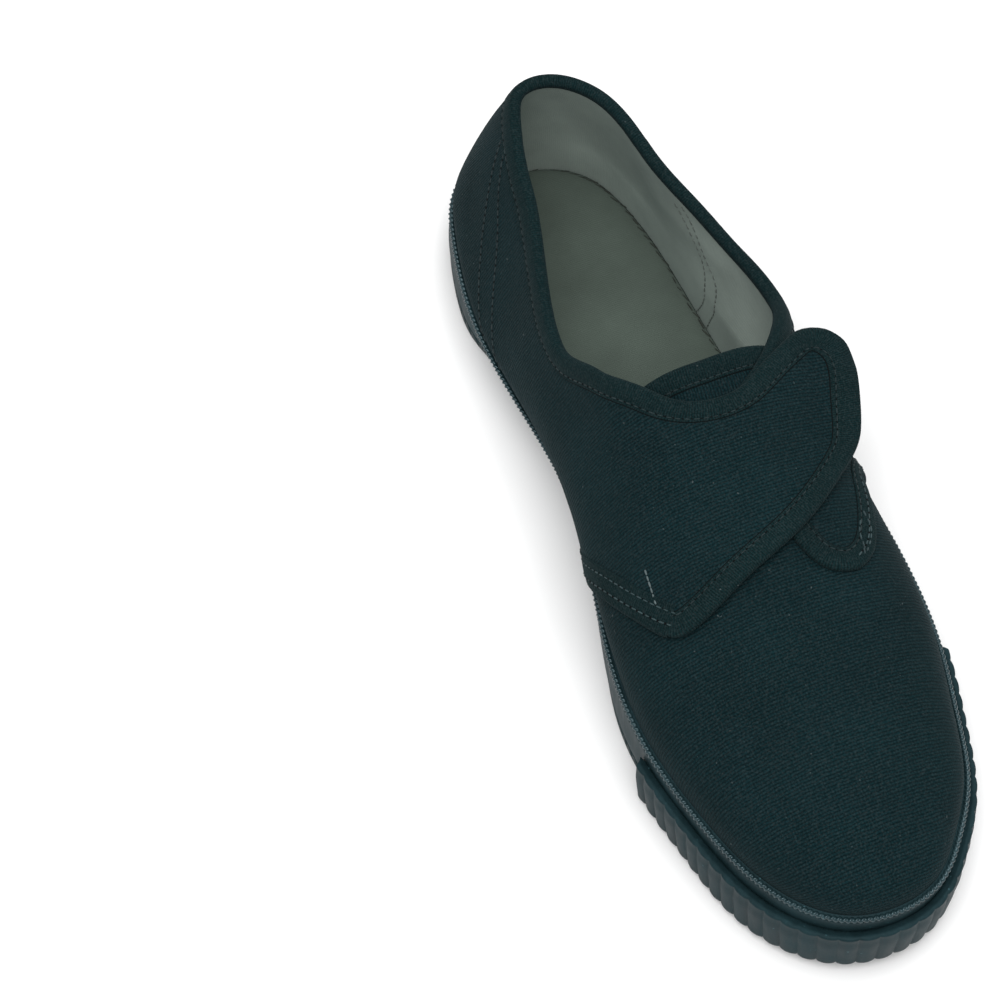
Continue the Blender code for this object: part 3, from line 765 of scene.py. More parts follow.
def stitches(piece, shade_marks, skin, path, side, face, inset, lift, pitch=STITCH_PITCH, radius=STITCH_RADIUS):
    """A row of stitches a distance inside a path, with a dark disc of painted shade at each needle hole
    between them.
    """
    places = evenly(skin, *inside_path(skin, path, side, inset), pitch)
    points, normals = on_cloth(skin, places, face, lift)
    along = unit(np.gradient(points, axis=0))
    across = np.cross(normals, along)
    seed = np.random.default_rng(7)
    for axes in zip(points, along, across, normals):
        thick, stretch, _ = 1 + STITCH_SWAY * seed.standard_normal(3)
        add_stitch(piece, axes, STITCH_LENGTH, radius * thick, stretch)
    if shade_marks is None:
        return
    # Each needle hole is a flat near-black disc on the cloth: painted shade, with no hollow modelled
    between = (points[1:] + points[:-1] + (normals[1:] + normals[:-1]) * HOLE_LIFT) / 2
    for middle, one, two in zip(between, along, across):
        dot = middle + HOLE_RADIUS * (np.cos(STITCH_TURN) * one + np.sin(STITCH_TURN) * two)
        shade_marks.add(dot, np.zeros((STITCH_SIDES, 2)), [range(STITCH_SIDES)])


def painted_shadow_line(piece, skin, path, side, face):
    """A thin dark strip of painted shadow where a tape's inner edge lies on the cloth."""
    rows = []
    for away in (TAPE_WIDTH, TAPE_WIDTH + SHADOW_LINE_WIDTH):
        rows.append(on_cloth(skin, inside_path(skin, path, side, away), face, SHADOW_LINE_LIFT)[0])
    piece.grid(np.stack(rows, 1), flip=side < 0)


# Materials

# Middle range of a noise, and grains of each kind to a metre
NOISE_RANGE = (0.3, 0.7)
NAP, FIBRES, LINT, CLOTH_CLOUD = 2600.0, 2100.0, 900.0, 42.0
GRAIN, SPECKS, RUBBER_CLOUD = 1500.0, 700.0, 60.0
STREAKS = (420.0, 420.0, 55.0)
THREAD_CLOUD, HOLE_CLOUD, PAPER_CLOUD = 300.0, 700.0, 30.0


class Nodes:
    """Small helper that adds shader nodes and joins them."""

    def __init__(self, name):
        self.material = bpy.data.materials.new(name)
        self.material.use_nodes = True
        self.tree = self.material.node_tree
        self.body = self.add("TexCoord").outputs["Object"]

    def add(self, kind, inputs=(), **settings):
        node = self.tree.nodes.new("ShaderNode" + kind)
        for key, value in settings.items():
            setattr(node, key, value)
        for key, value in dict(inputs).items():
            self.put(node.inputs[key], value)
        return node

    def put(self, socket, value):
        if isinstance(value, bpy.types.NodeSocket):
            self.tree.links.new(value, socket)
        else:
            socket.default_value = value

    def math(self, operation, a, b=0.0, c=0.0):
        return self.add("Math", {0: a, 1: b, 2: c}, operation=operation).outputs[0]

    def times(self, a, b):
        return self.math("MULTIPLY", a, b)

    def line(self, value, slope, start):
        """A value times a slope, plus a start."""
        return self.math("MULTIPLY_ADD", value, slope, start)

    def blend(self, share, a, b):
        """A number from a to b by a share."""
        return self.line(share, self.math("SUBTRACT", b, a), a)

    def vector(self, operation, a, b):
        factor = "Scale" if operation == "SCALE" else 1
        return self.add("VectorMath", {0: a, factor: b}, operation=operation).outputs[0]

    def ramp(self, value, low, high, out_low=0.0, out_high=1.0):
        inputs = {"Value": value, "From Min": low, "From Max": high, "To Min": out_low, "To Max": out_high}
        return self.add("MapRange", inputs, clamp=True).outputs[0]

    def noise(self, scale, detail=3.0, vector=None):
        inputs = {"Vector": self.body if vector is None else vector,
                  "Scale": scale, "Detail": detail, "Roughness": 0.55}
        return self.add("TexNoise", inputs).outputs["Fac"]

    def vary(self, noise, low, high):
        """A number that follows a noise from low to high."""
        return self.ramp(noise, *NOISE_RANGE, low, high)

    def bump(self, height, distance, strength=1.0, normal=None):
        inputs = {"Height": height, "Distance": distance * MM, "Strength": strength}
        if normal is not None:
            inputs["Normal"] = normal
        return self.add("Bump", inputs).outputs[0]

    def finish(self, colour, roughness, normal, **fixed):
        """The material, with its colour, roughness and normal joined to the shader."""
        joined = {"Base_Color": colour, "Roughness": roughness, "Normal": normal}
        shader = self.tree.nodes["Principled BSDF"]
        for key, value in {**joined, **fixed}.items():
            self.put(shader.inputs[key.replace("_", " ")], value)
        return self.material


def cloth_material(name, colour, pitch, depth, contrast, fleck, sheen, fuzz=0.0):
    """Woven cloth with raised cross threads, slubs, nap, grey fibre ends and lint."""
    n = Nodes(name)
    place = n.add("UVMap", uv_map="thread").outputs[0]
    wobble = n.add("TexNoise", {"Vector": place, "Scale": 0.22, "Detail": 2.0}).outputs["Color"]
    wobble = n.vector("SCALE", n.vector("SUBTRACT", wobble, (0.5, 0.5, 0.5)), 0.9)
    parts = n.add("SeparateXYZ", {0: n.vector("ADD", place, wobble)})
    counts = [n.math("DIVIDE", parts.outputs[i], wide) for i, wide in enumerate((pitch, pitch * 0.92))]
    wave_u, wave_v = [n.math("SINE", n.times(count, np.pi)) for count in counts]
    slub_u, slub_v = [n.add("TexWhiteNoise", {"W": n.math("FLOOR", count)}, noise_dimensions="1D").outputs[0]
                      for count in counts]
    over = n.math("GREATER_THAN", n.times(wave_u, wave_v), 0.0)
    round_u, round_v = n.math("ABSOLUTE", wave_u), n.math("ABSOLUTE", wave_v)
    warp = n.times(round_u, n.line(round_v, 0.5, 0.5))
    weft = n.times(round_v, n.line(round_u, 0.4, 0.45))
    height = n.line(n.blend(over, weft, warp), 0.4, n.times(round_u, 0.6))
    slub = n.blend(over, slub_v, slub_u)
    nap, cloud = n.noise(NAP, 2.0), n.noise(CLOTH_CLOUD, 4.0)
    shade = n.line(height, contrast, 1.0 - contrast * 0.5)
    shade = n.times(shade, n.line(slub, 0.12 * contrast, 1.0 - 0.06 * contrast))
    shade = n.times(shade, n.vary(cloud, 0.85, 1.15))
    shade = n.times(shade, n.vary(nap, 1.0 - 0.3 * contrast, 1.0 + 0.3 * contrast))
    fibre = n.ramp(n.noise(FIBRES, 2.0), 0.44, 0.72, 0.0, fuzz)
    lint = n.ramp(n.noise(LINT, 1.0), fleck, fleck + 0.05, 0.0, 4.0)
    grey = n.vector("SCALE", FIBRE, n.math("ADD", fibre, lint))
    paint = n.vector("ADD", n.vector("SCALE", colour, shade), grey)
    normal = n.bump(height, depth, 0.8)
    normal = n.bump(nap, depth * 0.8, 0.5, normal)
    normal = n.bump(cloud, 0.5, 0.35, normal)
    return n.finish(paint, n.vary(nap, 0.82, 0.96), normal, Sheen_Weight=sheen, Sheen_Roughness=0.45,
                    Sheen_Tint=(0.62, 0.85, 0.90, 1.0), Specular_IOR_Level=0.04)


def thread_material(name, colour, twist=0.45):
    """Sewing thread: a tight twist along the stitch."""
    n = Nodes(name)
    parts = n.add("SeparateXYZ", {0: n.add("UVMap", uv_map="thread").outputs[0]})
    turns = n.line(parts.outputs[0], 2 * np.pi / twist, parts.outputs[1])
    strand = n.line(n.math("SINE", turns), 0.5, 0.5)
    shade = n.times(n.line(strand, 0.5, 0.75), n.vary(n.noise(THREAD_CLOUD), 0.75, 1.3))
    return n.finish(n.vector("SCALE", colour, shade), n.ramp(strand, 0.0, 1.0, 0.75, 0.55),
                    n.bump(strand, 0.08), Specular_IOR_Level=0.3)


def plain_material(name, colour, cloud, span, depth, **fixed):
    """A plain surface that is cloudy in colour and roughness over a span of shades."""
    n = Nodes(name)
    shade = n.vary(n.noise(cloud), *span)
    return n.finish(n.vector("SCALE", colour, shade), n.ramp(shade, *span, 0.9, 1.0),
                    n.bump(shade, depth), **fixed)


def rubber_material(name, tread=False, gloss=0.0):
    """Vulcanised rubber: satin skin, moulding grain, streaks of dust and pale specks."""
    n = Nodes(name)
    grain, cloud = n.noise(GRAIN, 3.0), n.noise(RUBBER_CLOUD, 4.0)
    streak = n.noise(1.0, 3.0, n.add("Mapping", {"Vector": n.body, "Scale": STREAKS}).outputs[0])
    speck = n.ramp(n.noise(SPECKS, 1.0), 0.735, 0.77, 0.0, 2.2)
    shade = n.times(n.vary(cloud, 0.8, 1.22), n.vary(streak, 0.84, 1.18))
    shade = n.math("ADD", n.times(shade, n.vary(grain, 0.88, 1.12)), speck)
    rough = n.vary(cloud, 0.46 - 0.5 * gloss, 0.6 - 0.5 * gloss)
    rough = n.math("ADD", rough, n.vary(streak, -0.04, 0.06))
    normal = n.bump(grain, 0.06, 0.5)
    normal = n.bump(streak, 0.18, 0.4, normal)
    if tread:
        parts = n.add("SeparateXYZ", {0: n.body})
        slant = n.math("PINGPONG", n.times(parts.outputs[1], 1 / MM), 6.0)
        ridge = n.math("PINGPONG", n.line(parts.outputs[0], 1 / MM, slant), 1.6)
        normal = n.bump(n.ramp(ridge, 0.4, 1.2), 0.8, 1.0, normal)
    return n.finish(n.vector("SCALE", RUBBER, shade), rough, normal, Specular_IOR_Level=0.07 + gloss,
                    Specular_Tint=(0.70, 0.92, 1.0, 1.0))


# Levels of the layers over the last

def flat(level):
    """A layer's face that lies at one level."""
    return lambda first, second: level + 0 * np.asarray(second)


GROUND, UNDER_SEAM, WALL_INSIDE = flat(0.0), flat(SEAM_CLEAR), flat(-WALL)
TONGUE_TOP, TONGUE_UNDER = flat(-TONGUE_DEPTH), flat(-TONGUE_DEPTH - TONGUE_THICK)


def tuck(t):
    """Share of a layer's height near the rubber, which pulls the cloth in."""
    return TUCK_SHARE + (1 - TUCK_SHARE) * ramp(t, *TUCK_UP)


def flap_rise(x, place):
    """How far the flap has come from the quarter's level to the strap's, from 0 to 1."""
    return ramp(place, *FLAP_RISE_ACROSS) * ramp(x / LAST_LENGTH, *FLAP_RISE)


def flap_outer(x, place):
    """Outer face of the medial quarter and of the strap cut in one with it."""
    rise = flap_rise(x, place)
    strap = column(STRAP, 3, place) + STRAP_THICK
    return QUARTER_STEP * tuck(1 - np.abs(place)) * (1 - rise) + strap * rise


def flap_inner(x, place):
    """Inner face of the same."""
    rise = flap_rise(x, place)
    return FLAP_CLEAR * (1 - rise) + column(STRAP, 3, place) * rise


def strap_low(x, place):
    """Underside of the strap's edge; at the root it reaches down to the collar's wall."""
    free = np.maximum(ramp(place, *EDGE_FREE_ACROSS), ramp(x / LAST_LENGTH, *EDGE_FREE))
    return -WALL + (flap_inner(x, place) + WALL) * free


def medial_outer(arc, t):
    """Outer face of the medial quarter."""
    return flap_outer(length_at(arc), t - 1)


def lateral_outer(arc, t):
    """Outer face of the lateral quarter and its tab, pressed low under the strap."""
    share = length_at(arc) / LAST_LENGTH
    level = QUARTER_STEP + (TAB_STEP - QUARTER_STEP) * ramp(share, *TAB_RISE)
    pressed = ramp(t, *PRESSED_UP) * ramp(share, *PRESSED_REAR) * ramp(share, *PRESSED_FRONT)
    return level * tuck(t) * (1 - PRESSED_SHARE * pressed)


def collar_outer(arc, t):
    """Outer face of the collar on either side."""
    return np.where(plan_at(arc)[2], medial_outer(arc, t), lateral_outer(arc, t))


# Pieces

def add_cloth(piece, points, threads, arc, flip):
    """A grid of cloth with a hem below its first row, drawn in by the rubber behind the bead."""
    plan, out, medial = plan_at(arc[:, 0])
    x = plan[:, 0]
    drops = np.linspace(HEM_DEPTH, 0, HEM_ROWS, endpoint=False)
    hem = []
    for drop in drops:
        inward = undercut(medial, x, band_height(x) - drop)
        hem.append(points[:, 0] - np.column_stack([out * inward[:, None], np.full(len(x), drop)]))
    below = threads[:, :1] - unit(threads[:, 1:2] - threads[:, :1]) * drops[None, :, None]
    points = np.concatenate([np.stack(hem, 1), points], 1)
    piece.grid(points, np.concatenate([below, threads], 1), flip=flip)


def vamp_threads(arc, points):
    """Threads that run along and across the forefoot, also where its grid fans out at the toe."""
    base = plan_at(arc)[0]
    middle = ridge_plan(base[..., 0])[0]
    step = np.linalg.norm(np.diff(points, axis=1), axis=-1)
    down = np.concatenate([np.cumsum(step[:, ::-1], 1)[:, ::-1], np.zeros((len(points), 1))], 1)
    return middle + unit(base - middle) * down[..., None]


def vamp(material):
    """Canvas forefoot from the throat to the toe."""
    piece = Piece("vamp")
    x = lengths(THROAT, 1.0, VAMP_SPACING)
    for side in SIDES:
        arc, t = np.meshgrid(arc_of(side, x), np.linspace(0, 1, 52), indexing="ij")
        points = on_cloth(ROUND, (arc, t), GROUND)[0]
        add_cloth(piece, points, vamp_threads(arc, points), arc, side == "lateral")
    piece.build(material, "canvas", ("upper",))


def add_quarter(piece, side, start, seam, end, face, rows, fan=58):
    """A quarter: columns up to a share of the length, then a fan to its front seam."""
    x = lengths(0.0, start, QUARTER_SPACING)
    x[-1] = start * LAST_LENGTH
    reach = reach_of(side, x)
    reach[-1] = end
    part = np.linspace(0, 1, rows)[None, :]
    front = column(seam, 1, part * end) * LAST_LENGTH
    x_front = x[-1] + (front - x[-1]) * np.linspace(0, 1, fan)[1:, None]
    x_all = np.vstack([np.repeat(x[:, None], rows, 1), x_front])
    t = np.vstack([part * reach[:, None], np.repeat(part * end, fan - 1, 0)])
    arc = arc_of(side, x_all)
    sign = 1 if side == "lateral" else -1
    up = distance_over(x_all, sign * (1 - t), sign)
    points = on_cloth(ROUND, (arc, t), face)[0]
    add_cloth(piece, points, np.stack([arc, up], -1), arc, side == "lateral")


def strap_grid(rows=58, columns=110):
    """Lengths and places across of the strap from its root to its free end."""
    table = np.array(STRAP)
    chord = run_along(table[:, :2] * (BALL_WIDTH / 2, LAST_LENGTH))
    even = spline(chord, table, np.linspace(0, chord[-1], columns))
    part = np.linspace(0, 1, rows)[None, :]
    x = (even[:, 1:2] * (1 - part) + even[:, 2:3] * part) * LAST_LENGTH
    return x, np.repeat(even[:, :1], rows, 1)


def flap(material):
    """Medial quarter and strap, cut in one piece of canvas; the strap's end is free."""
    piece = Piece("quarter_and_strap")
    add_quarter(piece, "medial", ROOT_REAR, MEDIAL_SEAM, 1 + STRAP_ROOT, medial_outer, 46)
    x, place = strap_grid()
    threads = np.stack([arc_of("medial", x), distance_over(x, place, -1)], -1)
    for face, flip in ((flap_outer, True), (flap_inner, False)):
        piece.grid(on_cloth(OVER, (x, place), face)[0], threads, flip=flip)
    piece.build(material, "canvas", ("strap",), weld=0.05)


def lateral_quarter(material):
    """Lateral quarter with the tab at its front, lying on the vamp."""
    piece = Piece("quarter_and_tab")
    add_quarter(piece, "lateral", THROAT, LATERAL_SEAM, 1.0, lateral_outer, 60)
    piece.build(material, "canvas", ("tab",))


def tongue(material):
    """Tongue under the throat."""
    piece = Piece("tongue_cloth")
    across = np.linspace(TONGUE[0][0], TONGUE[-1][0], 60)
    place, part = np.meshgrid(across, np.linspace(0, 1, 40), indexing="ij")
    x = (column(TONGUE, 1, place) * (1 - part) + column(TONGUE, 2, place) * part) * LAST_LENGTH
    for face, flip in ((TONGUE_TOP, True), (TONGUE_UNDER, False)):
        piece.grid(on_cloth(OVER, (x, place), face)[0], flip=flip)
    piece.build(material, "canvas", ("tongue",))


def lining(material):
    """Pale cloth on the inside of the upper, down to the insole."""
    piece = Piece("lining_cloth")
    x = lengths(0.0, 1.0, INSIDE_SPACING)
    below = np.repeat(np.linspace(-SKIRT, 0, 8)[None, :-1], len(x), 0)
    for side in SIDES:
        wall = np.linspace(0, 1, 44)[None, :] * reach_of(side, x)[:, None]
        t = np.concatenate([below, wall], 1)
        piece.grid(on_lining(arc_of(side, x)[:, None], t), flip=side == "medial")
    piece.build(material, "lining")


def collar_edge():
    """Places along the collar from the medial waist round the heel to the lateral throat."""
    back, front = lengths(0.0, TAPE_JOIN, PATH_SPACING)[::-1], lengths(0.0, THROAT, PATH_SPACING)[1:]
    arc = np.r_[arc_of("medial", back) - PERIMETER, arc_of("lateral", front)]
    return evenly(ROUND, arc, np.r_[reach_of("medial", back), reach_of("lateral", front)], TAPE_SPACING)


def strap_edge():
    """Places along the medial collar and the strap's rear edge, round its end and back to its corner."""
    table = np.array(STRAP)
    x = lengths(TAPE_JOIN, ROOT_REAR - 0.015, 4.0)
    collar = np.column_stack([x / LAST_LENGTH, reach_of("medial", x) - 1])
    corner = [[column(MEDIAL_SEAM, 1, CORNER_SHARE), CORNER_SHARE - 1]]
    x, place = smooth_path(np.vstack([collar, table[:, [1, 0]], table[::-1, [2, 0]], corner]), 1200)
    return evenly(OVER, x * LAST_LENGTH, place, TAPE_SPACING)


def throat_edge():
    """Places along the medial edge of the throat, under the strap; its start is tucked in."""
    x = lengths(ROOT_REAR - 0.01, THROAT, PATH_SPACING)
    tucked = THROAT_TUCK * (1 - ramp(x / LAST_LENGTH, ROOT_REAR, ROOT_REAR + 0.03))
    return evenly(ROUND, arc_of("medial", x), reach_of("medial", x) - tucked, SEAM_SPACING)


def tongue_edge():
    """Places along the tongue's rear edge."""
    place = np.linspace(TONGUE[0][0], TONGUE[-1][0], 300)
    return evenly(OVER, column(TONGUE, 1, place) * LAST_LENGTH, place, SEAM_SPACING)


def seam_edge(side, seam, end, count):
    """Places along a quarter's front edge, from the rubber up to a share of the flank."""
    t = np.linspace(0.0, end, count)
    return evenly(ROUND, arc_of(side, column(seam, 1, t) * LAST_LENGTH), t, SEAM_SPACING)


def taped_edges():
    """Every bound edge: its skin, places, the side its cloth lies on, and the cloth's two faces."""
    medial_seam = seam_edge("medial", MEDIAL_SEAM, CORNER_SHARE, 300)
    tab = seam_edge("lateral", LATERAL_SEAM, TAB_END, 600)
    return {
        "collar": (ROUND, collar_edge(), 1, collar_outer, WALL_INSIDE),
        "strap": (OVER, strap_edge(), -1, flap_outer, strap_low),
        "throat": (ROUND, throat_edge(), -1, GROUND, WALL_INSIDE),
        "medial_seam": (ROUND, medial_seam, 1, medial_outer, UNDER_SEAM),
        "tab": (ROUND, tab, -1, lateral_outer, UNDER_SEAM),
        "tongue": (OVER, tongue_edge(), -1, TONGUE_TOP, TONGUE_UNDER),
    }


def bindings(material, edges):
    """Tapes folded over every cloth edge."""
    piece = Piece("binding_tape")
    for name, edge in edges.items():
        binding(piece, *edge, *TAPE_SIZES.get(name, (TAPE_INSIDE, TAPE_WIDTH)))
    piece.build(material, "canvas", weld=0.06)


def row_on(side, points):
    """A smooth path on a flank through places given as share of length and share of the flank."""
    x, t = smooth_path(points, 120)
    return arc_of(side, x * LAST_LENGTH), t


def seams(edges):
    """Every visible row of stitches, with a dark disc of painted shade at each needle hole and a painted
    shadow line along each tape.
    """
    piece, shade_marks, light = Piece("stitching"), Piece("painted_dark_shades"), Piece("tacking")
    strong, inside = Piece("seam_stitching"), Piece("lining_stitching")
    for name in ("collar", "strap", "tab", "tongue"):
        stitches(piece, shade_marks, *edges[name][:4], *TAPE_ROW)
        # A dark strip of painted shadow along each tape's inner edge
        painted_shadow_line(shade_marks, *edges[name][:4])
    for row in SEAM_ROWS:
        stitches(strong, shade_marks, *edges["medial_seam"][:4], *row)
    arc, t = edges["tab"][1]
    low = t < TAB_ROW_END
    stitches(strong, shade_marks, ROUND, (arc[low], t[low]), -1, lateral_outer, *SEAM_ROWS[0])
    lateral, medial = (1, lateral_outer, 0.0), (-1, medial_outer, 0.0)
    for row in TAB_ROWS:
        stitches(strong, None, ROUND, row_on("lateral", row), *lateral, TAB_LIFT, radius=BOLD_RADIUS)
    for row in COUNTER_OUTSIDE:
        stitches(piece, shade_marks, ROUND, row_on("medial", row), *medial, COUNTER_LIFT)
        stitches(piece, shade_marks, ROUND, row_on("lateral", row), *lateral, COUNTER_LIFT)
    stitches(light, None, ROUND, row_on("medial", TACKING), *medial, TACKING_LIFT,
             pitch=TACKING_PITCH, radius=BOLD_RADIUS)
    for row in COUNTER_INSIDE:
        stitches(inside, None, INSIDE, row_on("lateral", row), 1, GROUND, 0.0, LINING_LIFT)
    piece.build(thread_material("thread", THREAD), "canvas")
    # Near-black painted shade for each needle hole and for the shadow lines by the tapes
    dark = plain_material("painted_dark_shade", HOLE_SHADE, HOLE_CLOUD, (0.6, 1.6), 0.05, Specular_IOR_Level=0.1)
    shade_marks.build(dark, "canvas")
    light.build(thread_material("pale_thread", PALE_THREAD), "canvas")
    strong.build(thread_material("seam_row_thread", SEAM_ROW_THREAD), "canvas")
    inside.build(thread_material("lining_thread", LINING_THREAD), "lining")


def insole(material):
    """Cloth-covered insole with a rounded edge."""
    piece = Piece("insole_cloth")
    x = lengths(0.0, 1.0, INSIDE_SPACING)
    foot = OUTSOLE_THICK + GAP
    lateral, medial = edge_pair(x, -WALL - GAP, foot + INSOLE_THICK)
    across = (1 - np.cos(np.linspace(0, np.pi, 36))) / 2
    points = medial[:, None] + (lateral - medial)[:, None] * across[None, :, None]
    half = np.linalg.norm(lateral - medial, axis=1)[:, None] / 2
    away = half * (1 - np.abs(2 * across - 1))[None, :]
    points[..., 2] -= INSOLE_DROP * np.exp(-away / INSOLE_EDGE)
    piece.grid(points, points[..., :2])
    for edge, index in zip(edge_pair(x, -WALL - GAP, foot), (-1, 0)):
        piece.grid(np.stack([edge, points[:, index]], 1), flip=index < 0)
    piece.build(material, "lining", ("insole",))


def overcast(material):
    """Slanted dark stitches along the insole's edge, which hold it to the lining."""
    piece = Piece("insole_seam")
    seed = np.random.default_rng(3)
    up = np.array([0.0, 0.0, 1.0])
    height = OUTSOLE_THICK + GAP + INSOLE_THICK - OVERCAST_DROP
    for arc in np.arange(0, PERIMETER, OVERCAST_PITCH):
        inset = WALL + GAP + OVERCAST_INSET + OVERCAST_SWAY * seed.standard_normal()
        middle, ahead = rubber_ring(np.array([arc, arc + 1.0]), -inset, height)
        along = unit(ahead - middle)
        lean = OVERCAST_SLANT + STITCH_SWAY * seed.standard_normal()
        slant = unit(along - np.cross(along, up) * lean)
        size = 1 + OVERCAST_SWAY * seed.standard_normal()
        axes = (middle, slant, np.cross(up, slant), up)
        add_stitch(piece, axes, OVERCAST_LENGTH, OVERCAST_RADIUS * size, size)
    piece.build(material, "lining")


def ring_grid(arc, rows):
    """A grid round the sole from rows of offset and height."""
    return np.stack([rubber_ring(arc, offset, height) for offset, height in rows], 1)


def foxing(material):
    """Rubber band round the sole: a slightly bellied face with a rounded shoulder."""
    piece = Piece("foxing_band")
    arc = np.linspace(0, PERIMETER, 900, endpoint=False)
    top = band_height(length_at(arc))
    foot = OUTSOLE_THICK + GAP
    shoulder = top - 2 * BEAD_RADIUS
    rows = [(GAP, foot), (FOXING_THICK - 0.5, foot), (FOXING_THICK - 0.1, foot + 0.15),
            (FOXING_THICK + 0.05, foot + 0.6)]
    for share in np.linspace(0.12, 0.96, 10):
        belly = FOXING_THICK + FOXING_LIP * np.sin(np.pi * share) + 0.12 * np.sin(2 * np.pi * share)
        rows.append((belly, foot + (shoulder - 0.3 - foot) * share))
    rows += [(FOXING_THICK - 0.1, shoulder - 0.2), (FOXING_THICK - 0.35, shoulder),
             (BEAD_OUT, shoulder + 0.1), (GAP, top - 0.3), (-0.2, top - 0.3)]
    piece.grid(ring_grid(arc, rows), loop=True, flip=True)
    piece.build(material, "rubber", ("foxing",))


def bead(material):
    """Fine twisted cord of rubber along the band's top, where the canvas comes out."""
    piece = Piece("bead_cord")
    knurls = int(round(PERIMETER / KNURL_PITCH))
    arc = np.linspace(0, PERIMETER, knurls * 8, endpoint=False)
    middle = band_height(length_at(arc)) - BEAD_RADIUS
    phase = arc / PERIMETER * knurls * 2 * np.pi
    rows = []
    for bend in np.radians(np.linspace(-90, 190, 13)):
        radius = BEAD_RADIUS + KNURL_DEPTH * np.cos(phase + 1.4 * bend)
        rows.append((BEAD_OUT + radius * np.cos(bend), middle + radius * np.sin(bend)))
    piece.grid(ring_grid(arc, rows), loop=True, flip=True)
    piece.build(material, "rubber")


def bumper(material):
    """Toe bumper: ribs that fade a little upwards, a small rounded lip and a shallow hollow behind it."""
    piece = Piece("bumper_ribs")
    start = arc_of("lateral", BUMPER_LATERAL * LAST_LENGTH)
    stop = arc_of("medial", BUMPER_MEDIAL * LAST_LENGTH)
    ribs = int(round((stop - start) / RIB_PITCH))
    arc = np.linspace(start, stop, ribs * 16 + 1)
    rib = np.abs(np.sin(np.linspace(0, ribs * np.pi, len(arc)))) ** 0.6 * RIB_HEIGHT
    inside = FOXING_THICK + FOXING_LIP + GAP
    face = inside + BUMPER_THICK
    rows = [(inside, BUMPER_FOOT), (face - 0.8 + 0.6 * rib, BUMPER_FOOT),
            (face - 0.3 + 0.9 * rib, BUMPER_FOOT + 0.3)]
    for share in np.linspace(0.0, 1.0, 14):
        height = BUMPER_FOOT + 1.0 + share * (BUMPER_HEIGHT - 2.0 - BUMPER_FOOT)
        swell = 1 - 0.3 * ramp(share, 0.55, 1)
        rows.append((face + swell * rib - 0.35 * ramp(share, 0.7, 1), height))
    for bend in np.radians(np.linspace(10, 100, 6)):
        rows.append((face - 0.9 + np.cos(bend) * (0.55 + 0.7 * rib),
                     BUMPER_HEIGHT - 0.6 + 0.6 * np.sin(bend)))
    rows += [(inside + 0.9, BUMPER_HEIGHT - 0.05), (inside + 0.3, BUMPER_HEIGHT - 0.7),
             (inside - 0.35, BUMPER_HEIGHT - 0.7), rows[0]]
    thin = 0.25 + 0.75 * ramp(np.minimum(arc - start, stop - arc), 0, BUMPER_END)
    grid = ring_grid(arc, [(inside + (offset - inside) * thin, height) for offset, height in rows])
    piece.grid(grid, flip=True)
    count = grid.shape[1] - 1
    for index, order in ((0, -1), (-1, 1)):
        piece.add(grid[index, :-1], np.zeros((count, 2)), [range(count)[::order]])
    piece.build(material, "rubber", ("toe_bumper",))


def outsole(material):
    """Rubber outsole with a rounded lower edge."""
    piece = Piece("outsole_rubber")
    arc = np.linspace(0, PERIMETER, 520, endpoint=False)
    rows = [(FOXING_THICK - inset, height) for inset, height in OUTSOLE_SIDE]
    piece.grid(ring_grid(arc, rows), loop=True)
    x = lengths(0.0, 1.0, INSIDE_SPACING)
    across = np.linspace(0, 1, 24)[None, :, None]
    for row, flip in ((rows[-1], True), (rows[0], False)):
        lateral, medial = edge_pair(x, *row)
        piece.grid(medial[:, None] * (1 - across) + lateral[:, None] * across, flip=flip)
    piece.build(material, "rubber", ("outsole",))


# Stage

def place_in_scene(name, data, matrix):
    """A camera or a light as an object at a place."""
    thing = bpy.data.objects.new(name, data)
    thing.matrix_world = matrix
    bpy.context.scene.collection.objects.link(thing)
    return thing


def camera():
    """Camera at the photograph's angle to the shoe."""
    lens = bpy.data.cameras.new("camera")
    lens.sensor_width = lens.sensor_height = SENSOR
    lens.sensor_fit = "HORIZONTAL"
    lens.lens = VIEW_FOCAL * SENSOR / FRAME_PIXELS
    lens.shift_x, lens.shift_y = [-shift / FRAME_PIXELS for shift in VIEW_SHIFT]
    lens.clip_start = CLIP_START
    turn, tilt, roll = np.radians([VIEW_TURN, 90 - VIEW_HEIGHT, VIEW_ROLL])
    pose = Matrix.Rotation(turn, 4, "Z") @ Matrix.Rotation(tilt, 4, "X") @ Matrix.Rotation(roll, 4, "Z")
    target = Matrix.Translation((VIEW_TARGET - CENTRE) * MM)
    back = Matrix.Translation((0, 0, VIEW_DISTANCE * MM))
    bpy.context.scene.camera = place_in_scene("camera", lens, target @ pose @ back)


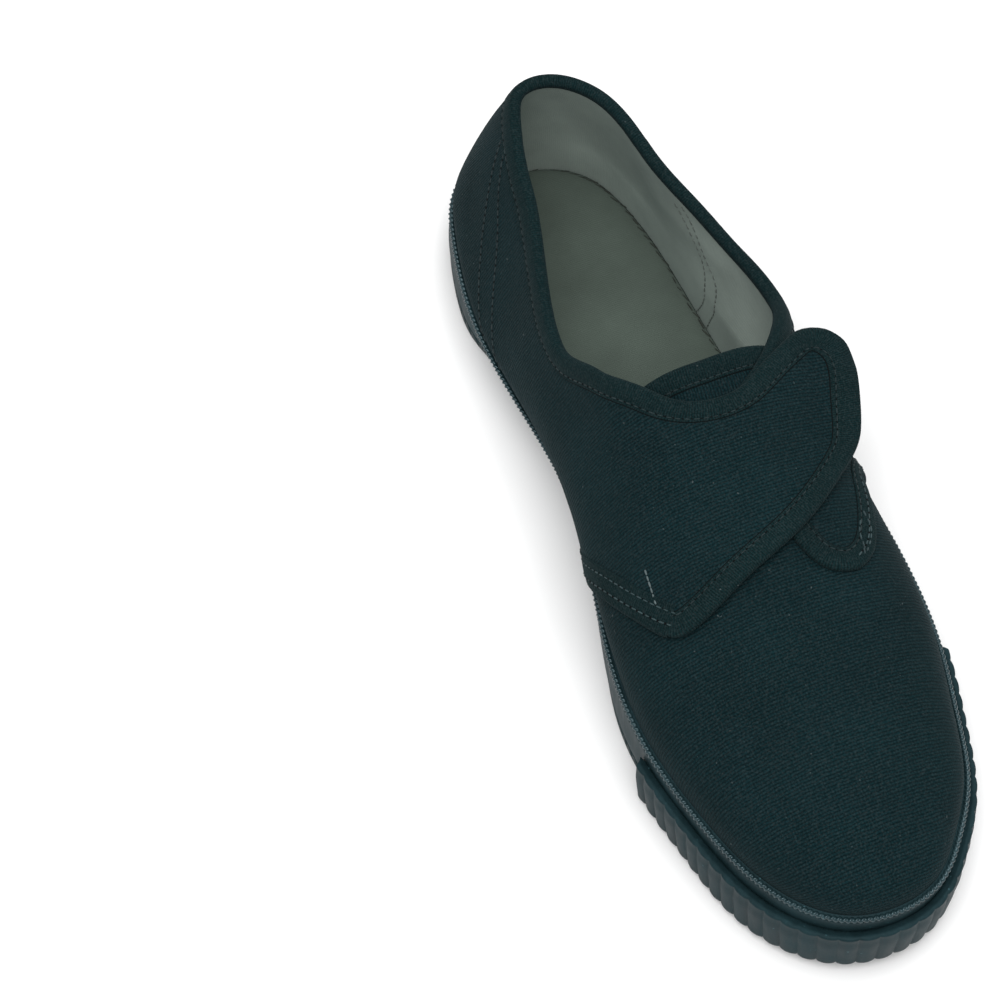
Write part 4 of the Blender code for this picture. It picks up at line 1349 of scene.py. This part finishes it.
def softbox(name, direction, size, power):
    """A large soft light shining at the shoe."""
    lamp = bpy.data.lights.new(name, "AREA")
    lamp.shape = "DISK"
    lamp.size, lamp.energy = size, power
    aim = unit(np.array(direction))
    side = unit(np.cross((0.3, 0.9, 0.1), aim))
    matrix = np.eye(4)
    matrix[:3] = np.column_stack([side, np.cross(aim, side), aim, aim * LIGHT_DISTANCE])
    place_in_scene(name, lamp, Matrix(matrix.tolist()))


def stage():
    """Pale floor, even white surroundings and two soft lights."""
    mesh = bpy.data.meshes.new("floor")
    corners = [(FLOOR_HALF * x, FLOOR_HALF * y, 0) for x, y in ((-1, -1), (1, -1), (1, 1), (-1, 1))]
    mesh.from_pydata(corners, [], [(0, 1, 2, 3)])
    mesh.materials.append(plain_material("paper", FLOOR, PAPER_CLOUD, (0.99, 1.0), 0.02))
    floor = bpy.data.objects.new("floor", mesh)
    floor.location.z = FLOOR_LEVEL
    bpy.context.scene.collection.objects.link(floor)
    world = bpy.data.worlds.new("studio")
    world.use_nodes = True
    background = world.node_tree.nodes["Background"]
    background.inputs["Color"].default_value = (1.0, 1.0, 1.0, 1.0)
    background.inputs["Strength"].default_value = WORLD_STRENGTH
    bpy.context.scene.world = world
    softbox("key", *KEY_LIGHT)
    softbox("fill", *FILL_LIGHT)
    bpy.context.scene.view_settings.view_transform = "Standard"


def main():
    """Dresses every solid, then sets the camera and the stage."""
    canvas = cloth_material("canvas", CANVAS, pitch=0.85, depth=0.16, contrast=1.0, fleck=0.765,
                            sheen=0.03, fuzz=1.0)
    tape = cloth_material("tape", TAPE_COLOUR, pitch=0.60, depth=0.10, contrast=0.9, fleck=0.775,
                          sheen=0.03, fuzz=1.0)
    plain = {"contrast": 0.12, "fleck": 0.9, "sheen": 0.05}
    rubber = rubber_material("rubber")
    edges = taped_edges()
    vamp(canvas)
    flap(canvas)
    lateral_quarter(canvas)
    tongue(canvas)
    bindings(tape, edges)
    seams(edges)
    lining(cloth_material("lining", LINING, pitch=0.48, depth=0.06, **plain))
    insole(cloth_material("insole", INSOLE_CLOTH, pitch=0.55, depth=0.07, **plain))
    overcast(thread_material("seam_thread", SEAM_THREAD))
    foxing(rubber)
    bead(rubber_material("bead_rubber", gloss=0.4))
    bumper(rubber)
    outsole(rubber_material("sole_rubber", tread=True))
    camera()
    stage()


main()
